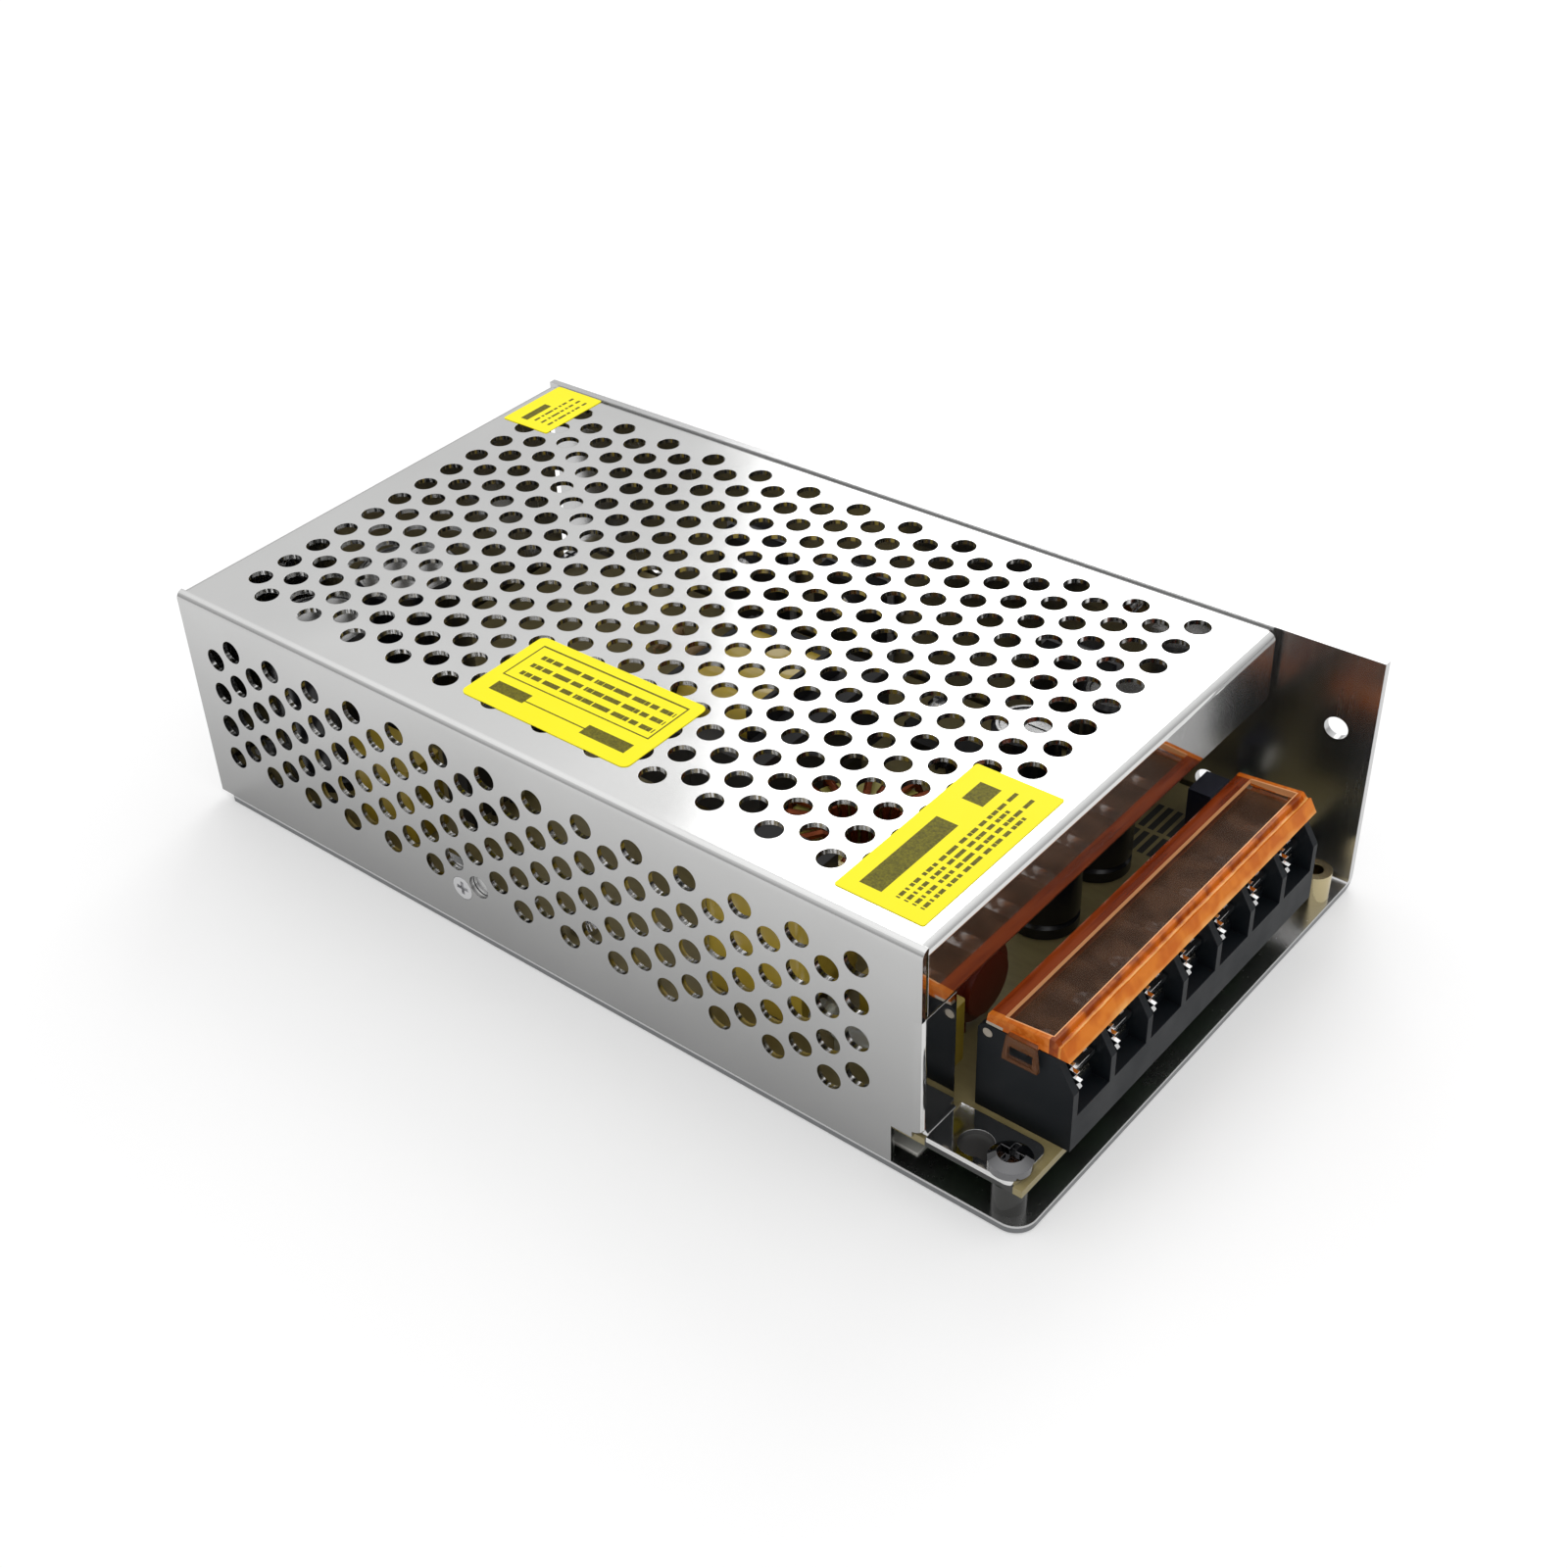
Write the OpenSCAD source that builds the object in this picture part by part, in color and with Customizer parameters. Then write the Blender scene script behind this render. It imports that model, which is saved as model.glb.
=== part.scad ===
// Mesh case switching power supply: folded chassis, perforated cover, screw terminals
// under a hinged terminal cover, and the circuit board with its components.
// Millimetres. X runs along the case and +X is the terminal end. -Y is the perforated
// side, +Y the chassis wall that cools the transistors. Z = 0 is the underside.

/* [Case] */
// Length of the chassis
case_l = 199; // [197:1:230]
// Width of the chassis
case_w = 110; // [109:1:125]
// Height of the case to the top of the cover
case_h = 50; // [49:1:60]
// Length of the open ledge in front of the cover
ledge_l = 19.7; // [19.2:0.1:24]

/* [Chassis] */
// Thickness of the chassis sheet
chassis_t = 1.5; // [1.2:0.1:1.8]
// Outer radius of the chassis bends
chassis_bend_r = 2.5; // [2:0.1:3]
// Radius of the free corner of the base
corner_r = 4; // [1:0.5:7]
// Distance of the rear wall from the rear end of the side wall
rear_gap = 0.8; // [0.5:0.1:1.5]
// Diameter of the mounting holes in the base and the side wall
mount_d = 4.5; // [3.5:0.1:5]
// Spacing of the base mounting holes along the case
base_mount_l = 150; // [130:1:155]
// Spacing of the base mounting holes across the case
base_mount_w = 50; // [30:1:55]
// Height of the upper hole in the open part of the side wall
wall_hole_z = 33.8; // [28:0.1:38]
// Distance of that hole from the front end
wall_hole_in = 7; // [5:0.5:12]
// Height of the lower side mounting holes
side_mount_z = 12; // [8:0.5:14]
// Distance of the front lower hole from the front end
side_mount_in = 30.6; // [28:0.1:36]
// Spacing of the lower side mounting holes along the case
side_mount_l = 140; // [128:1:150]

/* [Cover] */
// Thickness of the cover sheet
cover_t = 1; // [0.8:0.1:1.2]
// Outer radius of the cover bends
cover_bend_r = 1.6; // [1.4:0.1:2.4]
// Height of the lip folded down at the front
lip_h = 14; // [10:0.5:16]
// Height of the lips folded down at the rear and along the side wall
tuck_h = 8; // [7.5:0.5:10]
// Clearance between the cover and the chassis
cover_gap = 0.1; // [0.1:0.05:0.3]
// Diameter of the ventilation holes
vent_d = 4.9; // [3.5:0.1:5.1]
// Pitch of the ventilation columns in the top
top_pitch_x = 6.26; // [6:0.01:7]
// Pitch of the ventilation holes along a column in the top
top_pitch_y = 7.58; // [7.4:0.01:9]
// Distance of the first column from the rear end
top_margin_x = 10.7; // [8:0.1:14]
// Least distance of a top hole from the front lip
top_margin_front = 11.5; // [9:0.1:16]
// Distance of the first and last top holes from the sides
top_margin_y = 9.9; // [8:0.1:12]
// Pitch of the ventilation columns in the side
side_pitch_x = 5.83; // [5.8:0.01:7]
// Pitch of the holes along a column in the side
side_pitch_z = 7.95; // [7.4:0.01:9]
// Height of the lowest hole in the side
side_first_z = 13.4; // [12:0.1:16]
// Distance of the first side column from the rear end
side_margin_x = 9.5; // [7:0.1:12]
// Length of the notch in the front foot of the side
notch_l = 5.7; // [4:0.1:8]
// Width of the flange folded inwards at the front of the side
flange_w = 9.4; // [6:0.1:10]
// Width of the foot tab under the tab screw
tab_w = 10; // [9.5:0.1:10.4]
// Length of the foot tab from the flange to its end
tab_l = 17.2; // [16:0.1:18.2]
// Diameter of the round end of the tab's keyhole
keyhole_d = 6; // [5:0.1:6.4]

/* [Circuit board] */
// Thickness of the board
board_t = 1.6; // [1:0.1:2]
// Height of the pillars between the base and the board
pillar_h = 6.4; // [6:0.1:8]
// Diameter of the pillars
pillar_d = 6.2; // [5.5:0.1:7]
// Distance of the board from the front end
board_front_in = 1.2; // [0.8:0.1:1.6]
// Gap around the board at its sides and rear
board_gap = 0.8; // [0.5:0.1:1.2]
// Length of the cut-out at the far front corner of the board
board_notch_l = 9; // [8:0.5:10]
// Thickness of the insulating sheet on the base
sheet_t = 0.4; // [0.2:0.1:0.8]
// Thread diameter of the board screws
board_screw_d = 3; // [2.5:0.1:3.2]
// Head diameter of the board screws
board_head_d = 5.6; // [5:0.1:6]
// Thread diameter of the screw in the foot tab
tab_screw_d = 3.5; // [3:0.1:4]
// Head diameter of the screw in the foot tab
tab_head_d = 7.4; // [6.6:0.1:8]

/* [Terminals] */
// Pitch of the terminals
term_pitch = 11; // [10.5:0.1:11.2]
// Thickness of the dividers
divider_t = 1.5; // [1.2:0.1:1.7]
// Distance of the block from the near side of the case
block_near = 12.8; // [12.5:0.1:13.5]
// Depth of the block along the case
block_d = 17.9; // [17.6:0.1:18.2]
// Height of the dividers above the board
block_h = 18.5; // [18.2:0.1:19.5]
// Height of the front sill above the board
sill_h = 7; // [5.5:0.1:7.5]
// Depth of the bevel at the front of the dividers
divider_bevel = 3.6; // [3:0.1:4.2]
// Height of the bevel at the front of the dividers
divider_bevel_h = 6.2; // [5:0.1:6.6]
// Height of the contacts' top above the board
contact_h = 9.5; // [9.2:0.1:10]
// Thickness of the contact strips
contact_t = 1; // [0.8:0.1:1.2]
// Thread diameter of the terminal screws
term_screw_d = 3.4; // [3:0.1:3.6]
// Head diameter of the terminal screws
term_head_d = 6.6; // [6:0.1:6.8]
// Head height of the terminal screws
term_head_h = 2.4; // [2:0.1:2.6]
// Thickness of the clamp plates
clamp_t = 1; // [0.8:0.1:1.2]
// Height of the clamp plates' side ears
clamp_ear_h = 5; // [4:0.1:5.4]
// Gap under each clamp plate with its screw backed out
clamp_lift = 2.2; // [2:0.1:2.4]

/* [Terminal cover] */
// Thickness of the terminal cover's walls
lid_t = 1; // [0.8:0.1:1.2]
// Height of the terminal cover's front rim
lid_h = 3.2; // [2.8:0.1:4]
// Height of the terminal cover's rear rim
lid_rear_h = 2.1; // [2:0.1:3]
// Diameter of the hinge pins
hinge_d = 1.8; // [1.4:0.1:2]
// Radial clearance of the hinge pins
hinge_gap = 0.05; // [0.02:0.01:0.08]

/* [Transformer] */
// Length of the ferrite core along the case
core_l = 34; // [32:1:37]
// Width of the ferrite core
core_w = 40; // [38:1:44]
// Thickness of the ferrite core
core_h = 15; // [12:1:18]
// Length of the wound window
window_l = 20; // [18:1:22]
// Width of the wound bobbin
wound_w = 26; // [24:0.5:27]
// Height of the wound bobbin
wound_h = 26; // [22:1:28]

/* [Output choke] */
// Outer diameter of the ring core
ring_d = 29; // [27:1:30]
// Inner diameter of the ring core
ring_bore = 16; // [15:1:17]
// Height of the ring core
ring_h = 12; // [10:1:14]
// Diameter of the winding wire
wire_d = 1.6; // [1.2:0.1:1.8]
// Number of turns
choke_turns = 20; // [14:1:20]

/* [Capacitors] */
// Diameter of the input capacitors
bulk_d = 22; // [18:1:23]
// Height of the input capacitors
bulk_h = 34; // [26:1:36]
// Diameter of the output capacitors
out_cap_d = 13; // [10:0.5:13.5]
// Height of the output capacitors
out_cap_h = 25; // [20:1:30]

/* [Labels] */
// Thickness of the stickers
label_t = 0.15; // [0.1:0.05:0.3]
// Length of the front sticker across the case
front_label_l = 39; // [30:1:40]
// Width of the front sticker
front_label_w = 17; // [12:1:18]
// Length of the middle sticker
mid_label_l = 40; // [30:1:42]
// Width of the middle sticker
mid_label_w = 22; // [15:1:24]
// Side of the rear sticker across the case
rear_label_l = 18; // [12:1:20]

/* [Hidden] */
$fn = 48;

// Number of terminals
terminals = 7;

// Heights
board_z = chassis_t + pillar_h;
board_top = board_z + board_t;
roof_z = case_h - cover_t;

// Rear wall and cover ends, measured from the rear end
cover_rear = rear_gap;
wall_rear = cover_rear + cover_t + cover_gap;
cover_front = case_l - ledge_l;
wall_far = case_w - chassis_t;
cover_far = wall_far - cover_gap;

// Colours
steel = [0.78, 0.79, 0.8];
bright = [0.86, 0.87, 0.88];
black = [0.07, 0.07, 0.08];
ferrite = [0.16, 0.16, 0.17];
tape = [0.86, 0.72, 0.2];
amber = [0.85, 0.38, 0.08, 0.6];
sticker = [0.98, 0.92, 0.1];
tan_board = [0.55, 0.47, 0.24];
sleeve = [0.1, 0.1, 0.12];

// Moves a shape to a place measured from the rear end, the near side and the underside
module at(x, y, z = 0) translate([x - case_l / 2, y - case_w / 2, z]) children();

// Extrudes an outline drawn in length and height, t thick, starting at distance y
module upright(y, t) translate([0, y + t, 0]) rotate([90, 0, 0]) linear_extrude(t) children();

// Extrudes an outline drawn in width and height, t thick, starting at distance x
module across(x, t) translate([x, 0, 0]) rotate([90, 0, 90]) linear_extrude(t) children();

// Quarter ring of sheet, its centre at the origin, in the quadrant that sx and sy give
module bend(ro, t, sx, sy) intersection() {
  difference() {
    circle(ro);
    circle(ro - t);
  }
  translate([sx > 0 ? 0 : -ro, sy > 0 ? 0 : -ro]) square(ro);
}

// Rectangle with round corners, from its lower left corner
module round_rect(l, w, r) union() {
  translate([r, 0]) square([l - 2 * r, w]);
  translate([0, r]) square([l, w - 2 * r]);
  for (x = [r, l - r], y = [r, w - r]) translate([x, y]) circle(r);
}

// ---------------------------------------------------------------- fasteners
// Pan-head cross screw, its head's seat at z = 0
module pan_screw(d, head_d, head_h, l) difference() {
  union() {
    translate([0, 0, -l]) cylinder(h = l, d = d);
    cylinder(h = head_h * 0.55, d = head_d);
    translate([0, 0, head_h * 0.55]) cylinder(h = head_h * 0.45, d1 = head_d, d2 = head_d * 0.62);
  }
  for (a = [0, 90]) rotate(a)
    translate([-head_d * 0.3, -head_d * 0.075, head_h * 0.4])
      cube([head_d * 0.6, head_d * 0.15, head_h]);
}

// Countersunk cross screw, its head flush with z = 0
module flush_screw(d, l) difference() {
  union() {
    translate([0, 0, -l]) cylinder(h = l, d = d);
    translate([0, 0, -flush_head_h]) cylinder(h = flush_head_h, d1 = d, d2 = flush_head_d);
  }
  for (a = [0, 90]) rotate(a)
    translate([-flush_head_d * 0.3, -0.4, -0.7]) cube([flush_head_d * 0.6, 0.8, 1]);
}
flush_d = 3;
flush_head_d = 5;
flush_head_h = 1;
flush_l = 4.4;
tap_gap = 0.05;

// Places of the cover screws: side ear, rear wall and side wall
ear_x = 74.7;
ear_z = 10.9;
ear_w = 12;
ear_h = 15.5;
tuck_screw_z = case_h - 5;
rear_screw_y = [25, case_w - 25];
wall_screw_x = [30, case_l - 49];

module at_ear_screw() translate([ear_x, 0, ear_z]) rotate([90, 0, 0]) children();
module at_rear_screws() for (y = rear_screw_y)
  translate([cover_rear, y, tuck_screw_z]) rotate([0, -90, 0]) children();
module at_wall_screws() for (x = wall_screw_x)
  translate([x, case_w, tuck_screw_z]) rotate([-90, 0, 0]) children();

// Screw hole with a countersink, for the sheet under a flush screw's head
module flush_hole() {
  translate([0, 0, -flush_l - 1]) cylinder(h = flush_l + 2, d = flush_d + 2 * tap_gap);
  translate([0, 0, -flush_head_h - tap_gap])
    cylinder(h = flush_head_h + tap_gap, d1 = flush_d, d2 = flush_head_d + 2 * tap_gap);
  cylinder(h = 1, d = flush_head_d + 2 * tap_gap);
}

module cover_screws() color(steel) at(0, 0) {
  at_ear_screw() flush_screw(flush_d, flush_l);
  at_rear_screws() flush_screw(flush_d, flush_l);
  at_wall_screws() flush_screw(flush_d, flush_l);
}

// ---------------------------------------------------------------- chassis
sink_z = board_top + 15;
sink_x = [60, 86, case_l - 59];
chassis_in_r = chassis_bend_r - chassis_t;
rear_start = wall_rear + chassis_bend_r;
far_start = case_w - chassis_bend_r;

module base_outline() difference() {
  union() {
    translate([rear_start, 0]) square([case_l - corner_r - rear_start, far_start]);
    translate([rear_start, corner_r]) square([case_l - rear_start, far_start - corner_r]);
    translate([case_l - corner_r, corner_r]) circle(corner_r);
    translate([0, far_start - 2]) square([rear_start + 1, 2]);
  }
  base_mounts() circle(d = mount_d);
}

module base_mounts() for (sx = [-1, 1], sy = [-1, 1])
  translate([(case_l + sx * base_mount_l) / 2, (case_w + sy * base_mount_w) / 2]) children();

module wall_outline() difference() {
  translate([0, chassis_bend_r]) square([case_l, case_h - chassis_bend_r]);
  translate([case_l - wall_hole_in, wall_hole_z]) circle(d = mount_d);
  for (i = [0, 1])
    translate([case_l - side_mount_in - i * side_mount_l, side_mount_z]) circle(d = mount_d);
  for (x = sink_x) translate([x, sink_z]) circle(d = sink_screw_d + 2 * tap_gap);
}

module rear_outline() translate([rear_relief, chassis_bend_r])
  square([far_start - 2 - 2 * rear_relief, roof_z - 0.2 - chassis_bend_r]);
rear_relief = 1.6;

module chassis() color(steel) at(0, 0) difference() {
  union() {
    linear_extrude(chassis_t) base_outline();
    across(0, case_l) translate([far_start, chassis_bend_r]) bend(chassis_bend_r, chassis_t, 1, -1);
    upright(wall_far, chassis_t) wall_outline();
    upright(rear_relief, far_start - 2 - 2 * rear_relief)
      translate([rear_start, chassis_bend_r]) bend(chassis_bend_r, chassis_t, -1, -1);
    across(wall_rear, chassis_t) rear_outline();
    side_ear();
  }
  at_ear_screw() flush_hole();
  at_rear_screws() flush_hole();
  at_wall_screws() flush_hole();
}

// Ear folded up from the base behind the cover's side, with the tapped hole of its screw
module side_ear() {
  y = cover_t + cover_gap;
  upright(y, chassis_t) difference() {
    translate([ear_x - ear_w / 2, chassis_bend_r]) square([ear_w, ear_h - chassis_bend_r]);
    translate([ear_x, ear_z]) circle(d = flush_d + 2 * tap_gap);
  }
  across(ear_x - ear_w / 2, ear_w)
    translate([y + chassis_bend_r, chassis_bend_r]) bend(chassis_bend_r, chassis_t, -1, -1);
}

// ---------------------------------------------------------------- perforated cover
cover_in_r = cover_bend_r - cover_t;
flange_top = case_h - lip_h - 0.5;
notch_z = board_top + 0.3;
keyhole_x = cover_front + 7.6;
keyhole_y = 4.7;
tab_screw = [case_l - 5.4, 4.2];
tab_near = 0.8;

top_cols = floor((cover_front - top_margin_x - top_margin_front) / top_pitch_x) + 1;
top_rows = floor((cover_far - 2 * top_margin_y + 3) / top_pitch_y) + 1;
side_cols = floor((cover_front - side_margin_x - 10.5) / side_pitch_x) + 1;
side_rows = floor((case_h - side_first_z - 11) / side_pitch_z) + 1;

module top_vents() for (i = [0 : top_cols - 1], j = [0 : top_rows - 1 - (i + 1) % 2])
  translate([
    top_margin_x + i * top_pitch_x,
    top_margin_y + (j + ((i + 1) % 2) / 2) * top_pitch_y
  ]) circle(d = vent_d);

module side_vents() for (i = [0 : side_cols - 1], k = [0 : side_rows - 1])
  translate([
    side_margin_x + i * side_pitch_x,
    side_first_z + (k + (i % 2) / 2) * side_pitch_z
  ]) circle(d = vent_d);

module top_outline() difference() {
  translate([cover_rear + cover_bend_r, cover_bend_r])
    square([cover_front - cover_rear - 2 * cover_bend_r, cover_far - 2 * cover_bend_r]);
  top_vents();
}

module side_outline() difference() {
  polygon([
    [cover_rear, chassis_t + 0.05],
    [cover_front - notch_l, chassis_t + 0.05],
    [cover_front - notch_l, notch_z],
    [cover_front - cover_bend_r, notch_z],
    [cover_front - cover_bend_r, flange_top],
    [cover_front, flange_top],
    [cover_front, case_h - cover_bend_r],
    [cover_rear, case_h - cover_bend_r]
  ]);
  side_vents();
  translate([ear_x, ear_z]) circle(d = flush_head_d + 2 * tap_gap);
}

// Foot tab seen from above: a keyhole opens into the slot of the tab screw
module tab_outline() difference() {
  union() {
    translate([cover_front + cover_in_r, tab_near]) square([tab_l - cover_in_r - 2, tab_w]);
    translate([cover_front + cover_in_r, tab_near]) round_rect(tab_l - cover_in_r, tab_w, 2);
  }
  translate([keyhole_x, keyhole_y]) circle(d = keyhole_d);
  translate(tab_screw) circle(d = tab_screw_d + 0.4);
  translate([keyhole_x, tab_screw[1] - tab_screw_d / 2 - 0.2])
    square([tab_screw[0] - keyhole_x, tab_screw_d + 0.4]);
}

module mesh_cover() color(bright) at(0, 0) difference() {
  union() {
    translate([0, 0, roof_z]) linear_extrude(cover_t) top_outline();
    upright(0, cover_t) side_outline();
    across(cover_rear, cover_front - cover_rear)
      translate([cover_bend_r, case_h - cover_bend_r]) bend(cover_bend_r, cover_t, -1, 1);
    front_lip();
    tucked_lips();
    side_flange();
    translate([0, 0, board_top]) linear_extrude(cover_t) tab_outline();
  }
  at_ear_screw() flush_hole();
  at_rear_screws() flush_hole();
  at_wall_screws() flush_hole();
}

// Plain lip folded down over the terminals
module front_lip() {
  upright(cover_bend_r, cover_far - 2 * cover_bend_r)
    translate([cover_front - cover_bend_r, case_h - cover_bend_r])
      bend(cover_bend_r, cover_t, 1, 1);
  across(cover_front - cover_t, cover_t)
    translate([cover_bend_r, case_h - lip_h])
      square([cover_far - 2 * cover_bend_r, lip_h - cover_bend_r]);
}

// Lips folded down inside the side wall and behind the rear wall
module tucked_lips() {
  z = case_h - tuck_h;
  across(cover_rear + cover_bend_r, cover_front - cover_rear - 2 * cover_bend_r)
    translate([cover_far - cover_bend_r, case_h - cover_bend_r])
      bend(cover_bend_r, cover_t, 1, 1);
  upright(cover_far - cover_t, cover_t) translate([wall_rear + chassis_t + 1, z])
    square([cover_front - wall_rear - chassis_t - 1 - cover_bend_r, tuck_h - cover_bend_r]);
  upright(cover_bend_r, cover_far - 2 * cover_bend_r)
    translate([cover_rear + cover_bend_r, case_h - cover_bend_r])
      bend(cover_bend_r, cover_t, -1, 1);
  across(cover_rear, cover_t) translate([cover_bend_r, z])
    square([cover_far - 2 * cover_bend_r, tuck_h - cover_bend_r]);
}

// Flange at the side's front edge, and the bend that turns its foot forward
module side_flange() {
  z = board_top + cover_bend_r;
  translate([cover_front - cover_bend_r, cover_bend_r, z])
    linear_extrude(flange_top - z) bend(cover_bend_r, cover_t, 1, -1);
  across(cover_front - cover_t, cover_t) translate([cover_bend_r, z])
    square([flange_w - cover_bend_r, flange_top - z]);
  upright(cover_bend_r, flange_w - cover_bend_r)
    translate([cover_front + cover_in_r, z]) bend(cover_bend_r, cover_t, -1, -1);
}

// ---------------------------------------------------------------- circuit board
board_x0 = wall_rear + chassis_t + board_gap;
board_x1 = case_l - board_front_in;
board_y0 = cover_t + 0.2;
board_y1 = wall_far - board_gap;
ear_space = cover_t + cover_gap + chassis_t + 0.4;
ear_screw_room = 1.8;

// Board fixing points: near and far rear corners and both long edges
fix_in_x = 8.6;
board_fix = [
  [board_x0 + fix_in_x - 4, 8],
  [board_x0 + fix_in_x - 4, case_w - 9],
  [100, 6.5],
  [case_l - 87, case_w - 8]
];
// Bare pillar on the open corner of the ledge
spare_pillar = [case_l - 3.6, case_w - 9];

module board_outline() difference() {
  translate([board_x0, board_y0]) square([board_x1 - board_x0, board_y1 - board_y0]);
  translate([board_x1 - board_notch_l, block_far + 1.3])
    square([board_notch_l + 1, board_y1 - block_far]);
  translate([ear_x - ear_w / 2 - 0.5, board_y0 - 1])
    square([ear_w + 1, ear_space - board_y0 + 1 + ear_screw_room]);
  for (p = board_fix) translate(p) circle(d = board_screw_d + 0.2);
  translate(tab_screw) circle(d = tab_screw_d + 0.2);
  for (i = [0 : terminals - 1]) translate([contact_x0 - 0.2, term_y(i) - leg_w / 2 - 0.2])
    square([contact_t + 0.4, leg_w + 0.4]);
  board_drills();
}

module circuit_board() color(tan_board) at(0, 0, board_z) linear_extrude(board_t) board_outline();

module insulating_sheet() color([0.92, 0.92, 0.9]) at(0, 0, chassis_t)
  linear_extrude(sheet_t) difference() {
    translate([board_x0 + 3, ear_space + 0.8])
      square([cover_front - board_x0 - 6, wall_far - ear_space - 5]);
    for (p = board_fix) translate(p) circle(d = pillar_d + 1.6);
    base_mounts() circle(d = mount_d + 5);
  }

module pillars() color([0.78, 0.66, 0.38]) at(0, 0, chassis_t) {
  for (p = concat(board_fix, [spare_pillar])) translate(p) difference() {
    cylinder(h = pillar_h, d = pillar_d);
    translate([0, 0, -1]) cylinder(h = pillar_h + 2, d = board_screw_d + 2 * tap_gap);
  }
  translate(tab_screw) difference() {
    cylinder(h = pillar_h, d = pillar_d);
    translate([0, 0, -1]) cylinder(h = pillar_h + 2, d = tab_screw_d + 2 * tap_gap);
  }
}

module board_screws() color(steel) for (p = board_fix)
  at(p[0], p[1], board_top) pan_screw(board_screw_d, board_head_d, 2.2, board_t + 4.5);

module tab_screw() color(steel) at(tab_screw[0], tab_screw[1], board_top + cover_t)
  pan_screw(tab_screw_d, tab_head_d, 2.7, cover_t + board_t + 4.5);

// ---------------------------------------------------------------- terminal block
block_x0 = case_l - block_d;
block_far = block_near + terminals * term_pitch + divider_t;
bead_r = 1.8;
pivot_x = block_x0 + bead_r;
pivot_h = block_h - bead_r;
catch_x = block_x0 + 8.7;
seat_h = contact_h - contact_t;
contact_x0 = block_x0 + 2 * bead_r + 0.2;
contact_x1 = case_l - 3.6;
term_x = block_x0 + 9;
term_in_w = term_pitch - divider_t;
leg_w = 4;
arm_t = 1.2;
arm_gap = 0.25;

// Middle of terminal i, from the near side
function term_y(i) = block_near + divider_t / 2 + (i + 0.5) * term_pitch;

// Section of a divider: round hinge bead at the rear, bevel at the front
module divider_outline() union() {
  translate([pivot_x, pivot_h]) circle(bead_r);
  translate([block_x0, 0]) square([2 * bead_r, pivot_h]);
  polygon([
    [pivot_x, 0],
    [case_l, 0],
    [case_l, block_h - divider_bevel_h],
    [case_l - divider_bevel, block_h],
    [pivot_x, block_h]
  ]);
}

// Section of the block between the dividers: rear bead, contact seat and front sill
module floor_outline() union() {
  translate([pivot_x, pivot_h]) circle(bead_r);
  translate([block_x0, 0]) square([2 * bead_r, pivot_h]);
  translate([block_x0, 0]) square([contact_x1 + 0.3 - block_x0, seat_h]);
  translate([block_x0, 0]) square([block_d, sill_h]);
}

module terminal_block() color(black) at(0, 0, board_top) difference() {
  union() {
    upright(block_near, block_far - block_near) floor_outline();
    for (i = [0 : terminals])
      upright(block_near + i * term_pitch, divider_t) divider_outline();
    for (y = [block_near, block_far]) catch_nub(y);
  }
  for (i = [0 : terminals - 1]) translate([0, term_y(i), 0]) {
    translate([term_x, 0, 1.6]) cylinder(h = block_h, d = term_screw_d + 1);
    translate([contact_x0 - 0.1, -leg_w / 2 - 0.1, -1]) cube([contact_t + 0.2, leg_w + 0.2, block_h]);
  }
  for (s = [0, 1]) hinge_cuts(s);
}

// Small nub on each end face, in the window of the terminal cover's catch
module catch_nub(y) translate([catch_x, y, pivot_h - 0.3]) rotate([90, 0, 0])
  cylinder(h = 0.8, d = 1.4, center = true);

// End of the block, 0 near or 1 far, with y measured inwards from the end face
module at_end(s) {
  if (s == 0) translate([0, block_near, 0]) children();
  if (s == 1) translate([0, block_far, 0]) mirror([0, 1, 0]) children();
}

// Bore of the hinge pin through the end wall, and the room for its arm behind
module hinge_cuts(s) at_end(s) {
  translate([pivot_x, divider_t + 1, pivot_h]) rotate([90, 0, 0])
    cylinder(h = divider_t + 2, d = hinge_d + 2 * hinge_gap);
  translate([block_x0 - 1, divider_t, pivot_h - bead_r - 0.2])
    cube([2 * bead_r + 2, arm_t + 2 * arm_gap, bead_r * 3]);
}

// Contact strip: screw seat with a tapped hole, and a leg through the board
module contact() difference() {
  union() {
    translate([contact_x0, -term_in_w / 2 + 0.4, seat_h])
      cube([contact_x1 - contact_x0, term_in_w - 0.8, contact_t]);
    translate([contact_x0, -leg_w / 2, -board_t - 1])
      cube([contact_t, leg_w, board_t + 1 + seat_h + contact_t / 2]);
  }
  translate([term_x, 0, seat_h - 1])
    cylinder(h = contact_t + 2, d = term_screw_d + 2 * tap_gap);
}

module terminal_contacts() color([0.83, 0.78, 0.6]) at(0, 0, board_top)
  for (i = [0 : terminals - 1]) translate([0, term_y(i), 0]) contact();

// Clamp plate: flat plate with an upturned ear along each side, the near one toothed
clamp_x0 = block_x0 + 4.6;
clamp_x1 = case_l - 2.9;
clamp_w = term_in_w - 0.6;
clamp_ear_t = 0.8;
clamp_h = contact_h + clamp_lift;

ear_front = case_l - 0.1;

// Near ear of a clamp plate, with teeth down its sloping front edge
module clamp_ear() polygon([
  [clamp_x0 + 3, 0],
  [ear_front - 0.8, 0],
  [ear_front, clamp_ear_h * 0.18],
  [ear_front - 0.6, clamp_ear_h * 0.3],
  [ear_front, clamp_ear_h * 0.46],
  [ear_front - 1.3, clamp_ear_h * 0.52],
  [ear_front - 0.6, clamp_ear_h * 0.74],
  [ear_front - 2, clamp_ear_h * 0.78],
  [ear_front - 1.4, clamp_ear_h],
  [clamp_x0 + 5, clamp_ear_h]
]);

// Low, plain ear along the other side
module low_ear() polygon([
  [clamp_x0 + 3, 0],
  [clamp_x1 - 0.5, 0],
  [clamp_x1 - 1.5, clamp_t + 0.9],
  [clamp_x0 + 4, clamp_t + 0.9]
]);

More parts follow.
